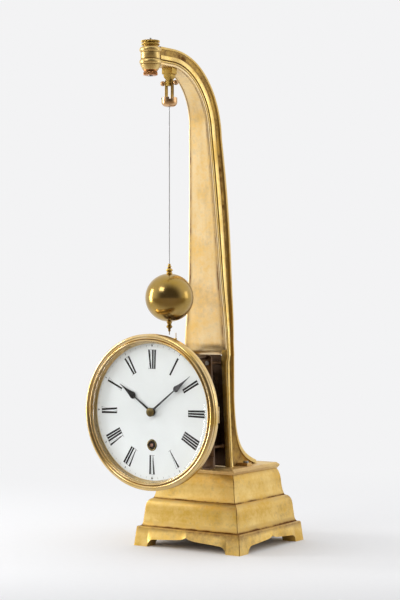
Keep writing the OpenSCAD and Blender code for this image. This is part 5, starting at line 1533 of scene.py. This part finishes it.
def paper_material(paper, azimuth):
    """Pale paper floor. Near the clock it is lit and takes its shadow, and further out the
    camera sees the plain paper colour. Towards the camera's side its colour is darkened as
    painted shade, and polished metal sees a painted dark reflection there."""
    material, tree, shader, out = new_material("Paper", 0.0, 0.9, paper)
    place = object_place(tree)
    front = (math.sin(azimuth), -math.cos(azimuth), 0.0)
    facing = vectors(tree, "DOT_PRODUCT", place, front)
    # fall darkens the floor towards the camera's side: painted shade.
    fall = eased(tree, facing, 0.12, 0.42)
    grain = ranged(tree, noise(tree, place, 160.0, 4.0), 0.3, 0.7)
    sheet = blended(tree, grain, solid(scaled(paper, 0.97)), solid(scaled(paper, 0.955)))
    wired(tree, shader, ("Specular IOR Level", 0.15),
          ("Base Color", blended(tree, fall, sheet, solid(scaled(paper, 0.74)))))
    path = add(tree, "ShaderNodeLightPath").outputs
    far = eased(tree, vectors(tree, "LENGTH", place), 0.22, 0.8)
    # Glossy rays towards the camera's side see a dark colour: a painted dark reflection in the
    # polished metal.
    painted_reflection_mask = times(tree, eased(tree, facing, -0.05, 0.45), path["Is Glossy Ray"])
    shaded = blended(tree, fall, solid(paper), solid(scaled(paper, 0.8)))
    painted_dark_reflection = (0.36, 0.3, 0.23, 1)
    plain = add(tree, "ShaderNodeEmission", ("Strength", 1.0),
                ("Color", blended(tree, painted_reflection_mask, shaded, painted_dark_reflection)))
    seen = larger(tree, path["Is Camera Ray"], path["Is Transmission Ray"])
    seen = larger(tree, seen, path["Is Glossy Ray"])
    bare = larger(tree, times(tree, far, seen), painted_reflection_mask)
    wired(tree, out, ("Surface", mixed(tree, bare, shader.outputs[0], plain.outputs[0])))
    return material


def studio_world(paper, azimuth):
    """The room: the paper's colour to the camera and through glass, a pale room with a darker
    side where the camera stands to polished metal, and an even soft light on everything."""
    world = bpy.data.worlds.new("Studio")
    world.use_nodes = True
    tree = world.node_tree
    tree.nodes.clear()
    way = add(tree, "ShaderNodeTexCoord").outputs["Generated"]
    front = (math.sin(azimuth), -math.cos(azimuth), 0.05)
    dark = eased(tree, vectors(tree, "DOT_PRODUCT", way, front), 0.15, 0.85)
    pale_side, dark_side, even = (1.0, 0.99, 0.97, 1), (0.1, 0.085, 0.07, 1), (0.985, 0.99, 1.0, 1)
    room = blended(tree, dark, pale_side, dark_side)
    soft, mirror, plain = [
        add(tree, "ShaderNodeBackground", ("Color", value), ("Strength", strength)).outputs[0]
        for value, strength in ((even, 0.9), (room, 1.0), (solid(paper), 1.0))]
    path = add(tree, "ShaderNodeLightPath").outputs
    gloss = mixed(tree, path["Is Glossy Ray"], soft, mirror)
    seen = larger(tree, path["Is Camera Ray"], path["Is Transmission Ray"])
    add(tree, "ShaderNodeOutputWorld", ("Surface", mixed(tree, seen, gloss, plain)))
    bpy.context.scene.world = world


class CLOCK_OT_stage(Operator):
    """Makes the pale floor, the studio lights and the camera"""
    bl_idname = "clock.stage"
    bl_label = "Stage"

    def execute(self, context):
        scene, stage = context.scene, context.scene.clock_stage
        paper = tuple(stage.paper)
        mesh = bpy.data.meshes.new("floor")
        turn = np.linspace(0, 2 * np.pi, FLOOR_SIDES, endpoint=False)
        rim = np.stack([FLOOR_R * np.cos(turn), FLOOR_R * np.sin(turn), 0 * turn], 1)
        mesh.from_pydata(rim.tolist(), [], [list(range(FLOOR_SIDES))])
        mesh.materials.append(paper_material(paper, stage.azimuth))
        floor = bpy.data.objects.new("floor", mesh)
        scene.collection.objects.link(floor)
        studio_world(paper, stage.azimuth)
        for key, (bearing, *place) in LAMPS.items():
            stage_light(key + "_light", stage.azimuth + bearing, *place, getattr(stage, key))
        camera_data = bpy.data.cameras.new("camera")
        camera_data.sensor_fit = "VERTICAL"
        camera_data.sensor_height = 36.0
        camera_data.lens = stage.lens
        camera_data.clip_start, camera_data.clip_end = 0.05, 30.0
        camera = bpy.data.objects.new("camera", camera_data)
        camera.location = CAMERA_AT
        camera.rotation_euler = (math.pi / 2, 0.0, stage.azimuth)
        scene.collection.objects.link(camera)
        scene.camera = camera
        scene.view_settings.view_transform = "Standard"
        return {"FINISHED"}


class CLOCK_PT_panel(Panel):
    """Shows the clock's settings and its steps' buttons in the sidebar"""
    bl_label = "Conical pendulum clock"
    bl_idname = "CLOCK_PT_panel"
    bl_space_type = "VIEW_3D"
    bl_region_type = "UI"
    bl_category = "Clock"

    def draw(self, context):
        for settings in (context.scene.clock_castings, context.scene.clock_brass,
                         context.scene.clock_dial, context.scene.clock_stage):
            box = self.layout.box()
            box.label(text=type(settings).__doc__.strip("."))
            for key in type(settings).__annotations__:
                box.prop(settings, key)
        for operator in STEPS:
            self.layout.operator(operator.bl_idname)


STEPS = (CLOCK_OT_finishes, CLOCK_OT_plinth, CLOCK_OT_pillar, CLOCK_OT_boss, CLOCK_OT_suspension,
         CLOCK_OT_pendulum, CLOCK_OT_dial, CLOCK_OT_hands, CLOCK_OT_bezel, CLOCK_OT_stage)
CLASSES = (CastingSettings, TurnedSettings, DialSettings, StageSettings, *STEPS, CLOCK_PT_panel)


def register():
    """Adds the classes and the scene's settings."""
    for item in CLASSES:
        bpy.utils.register_class(item)
    bpy.types.Scene.clock_castings = PointerProperty(type=CastingSettings)
    bpy.types.Scene.clock_brass = PointerProperty(type=TurnedSettings)
    bpy.types.Scene.clock_dial = PointerProperty(type=DialSettings)
    bpy.types.Scene.clock_stage = PointerProperty(type=StageSettings)


def unregister():
    """Takes them out again."""
    for key in ("clock_stage", "clock_dial", "clock_brass", "clock_castings"):
        delattr(bpy.types.Scene, key)
    for item in reversed(CLASSES):
        bpy.utils.unregister_class(item)


def main():
    """Makes every piece and the stage."""
    register()
    bpy.ops.clock.finishes()
    bpy.ops.clock.plinth()
    bpy.ops.clock.pillar()
    bpy.ops.clock.boss()
    bpy.ops.clock.suspension()
    bpy.ops.clock.pendulum()
    bpy.ops.clock.dial()
    bpy.ops.clock.hands()
    bpy.ops.clock.bezel()
    bpy.ops.clock.stage()


if __name__ == "__main__":
    main()
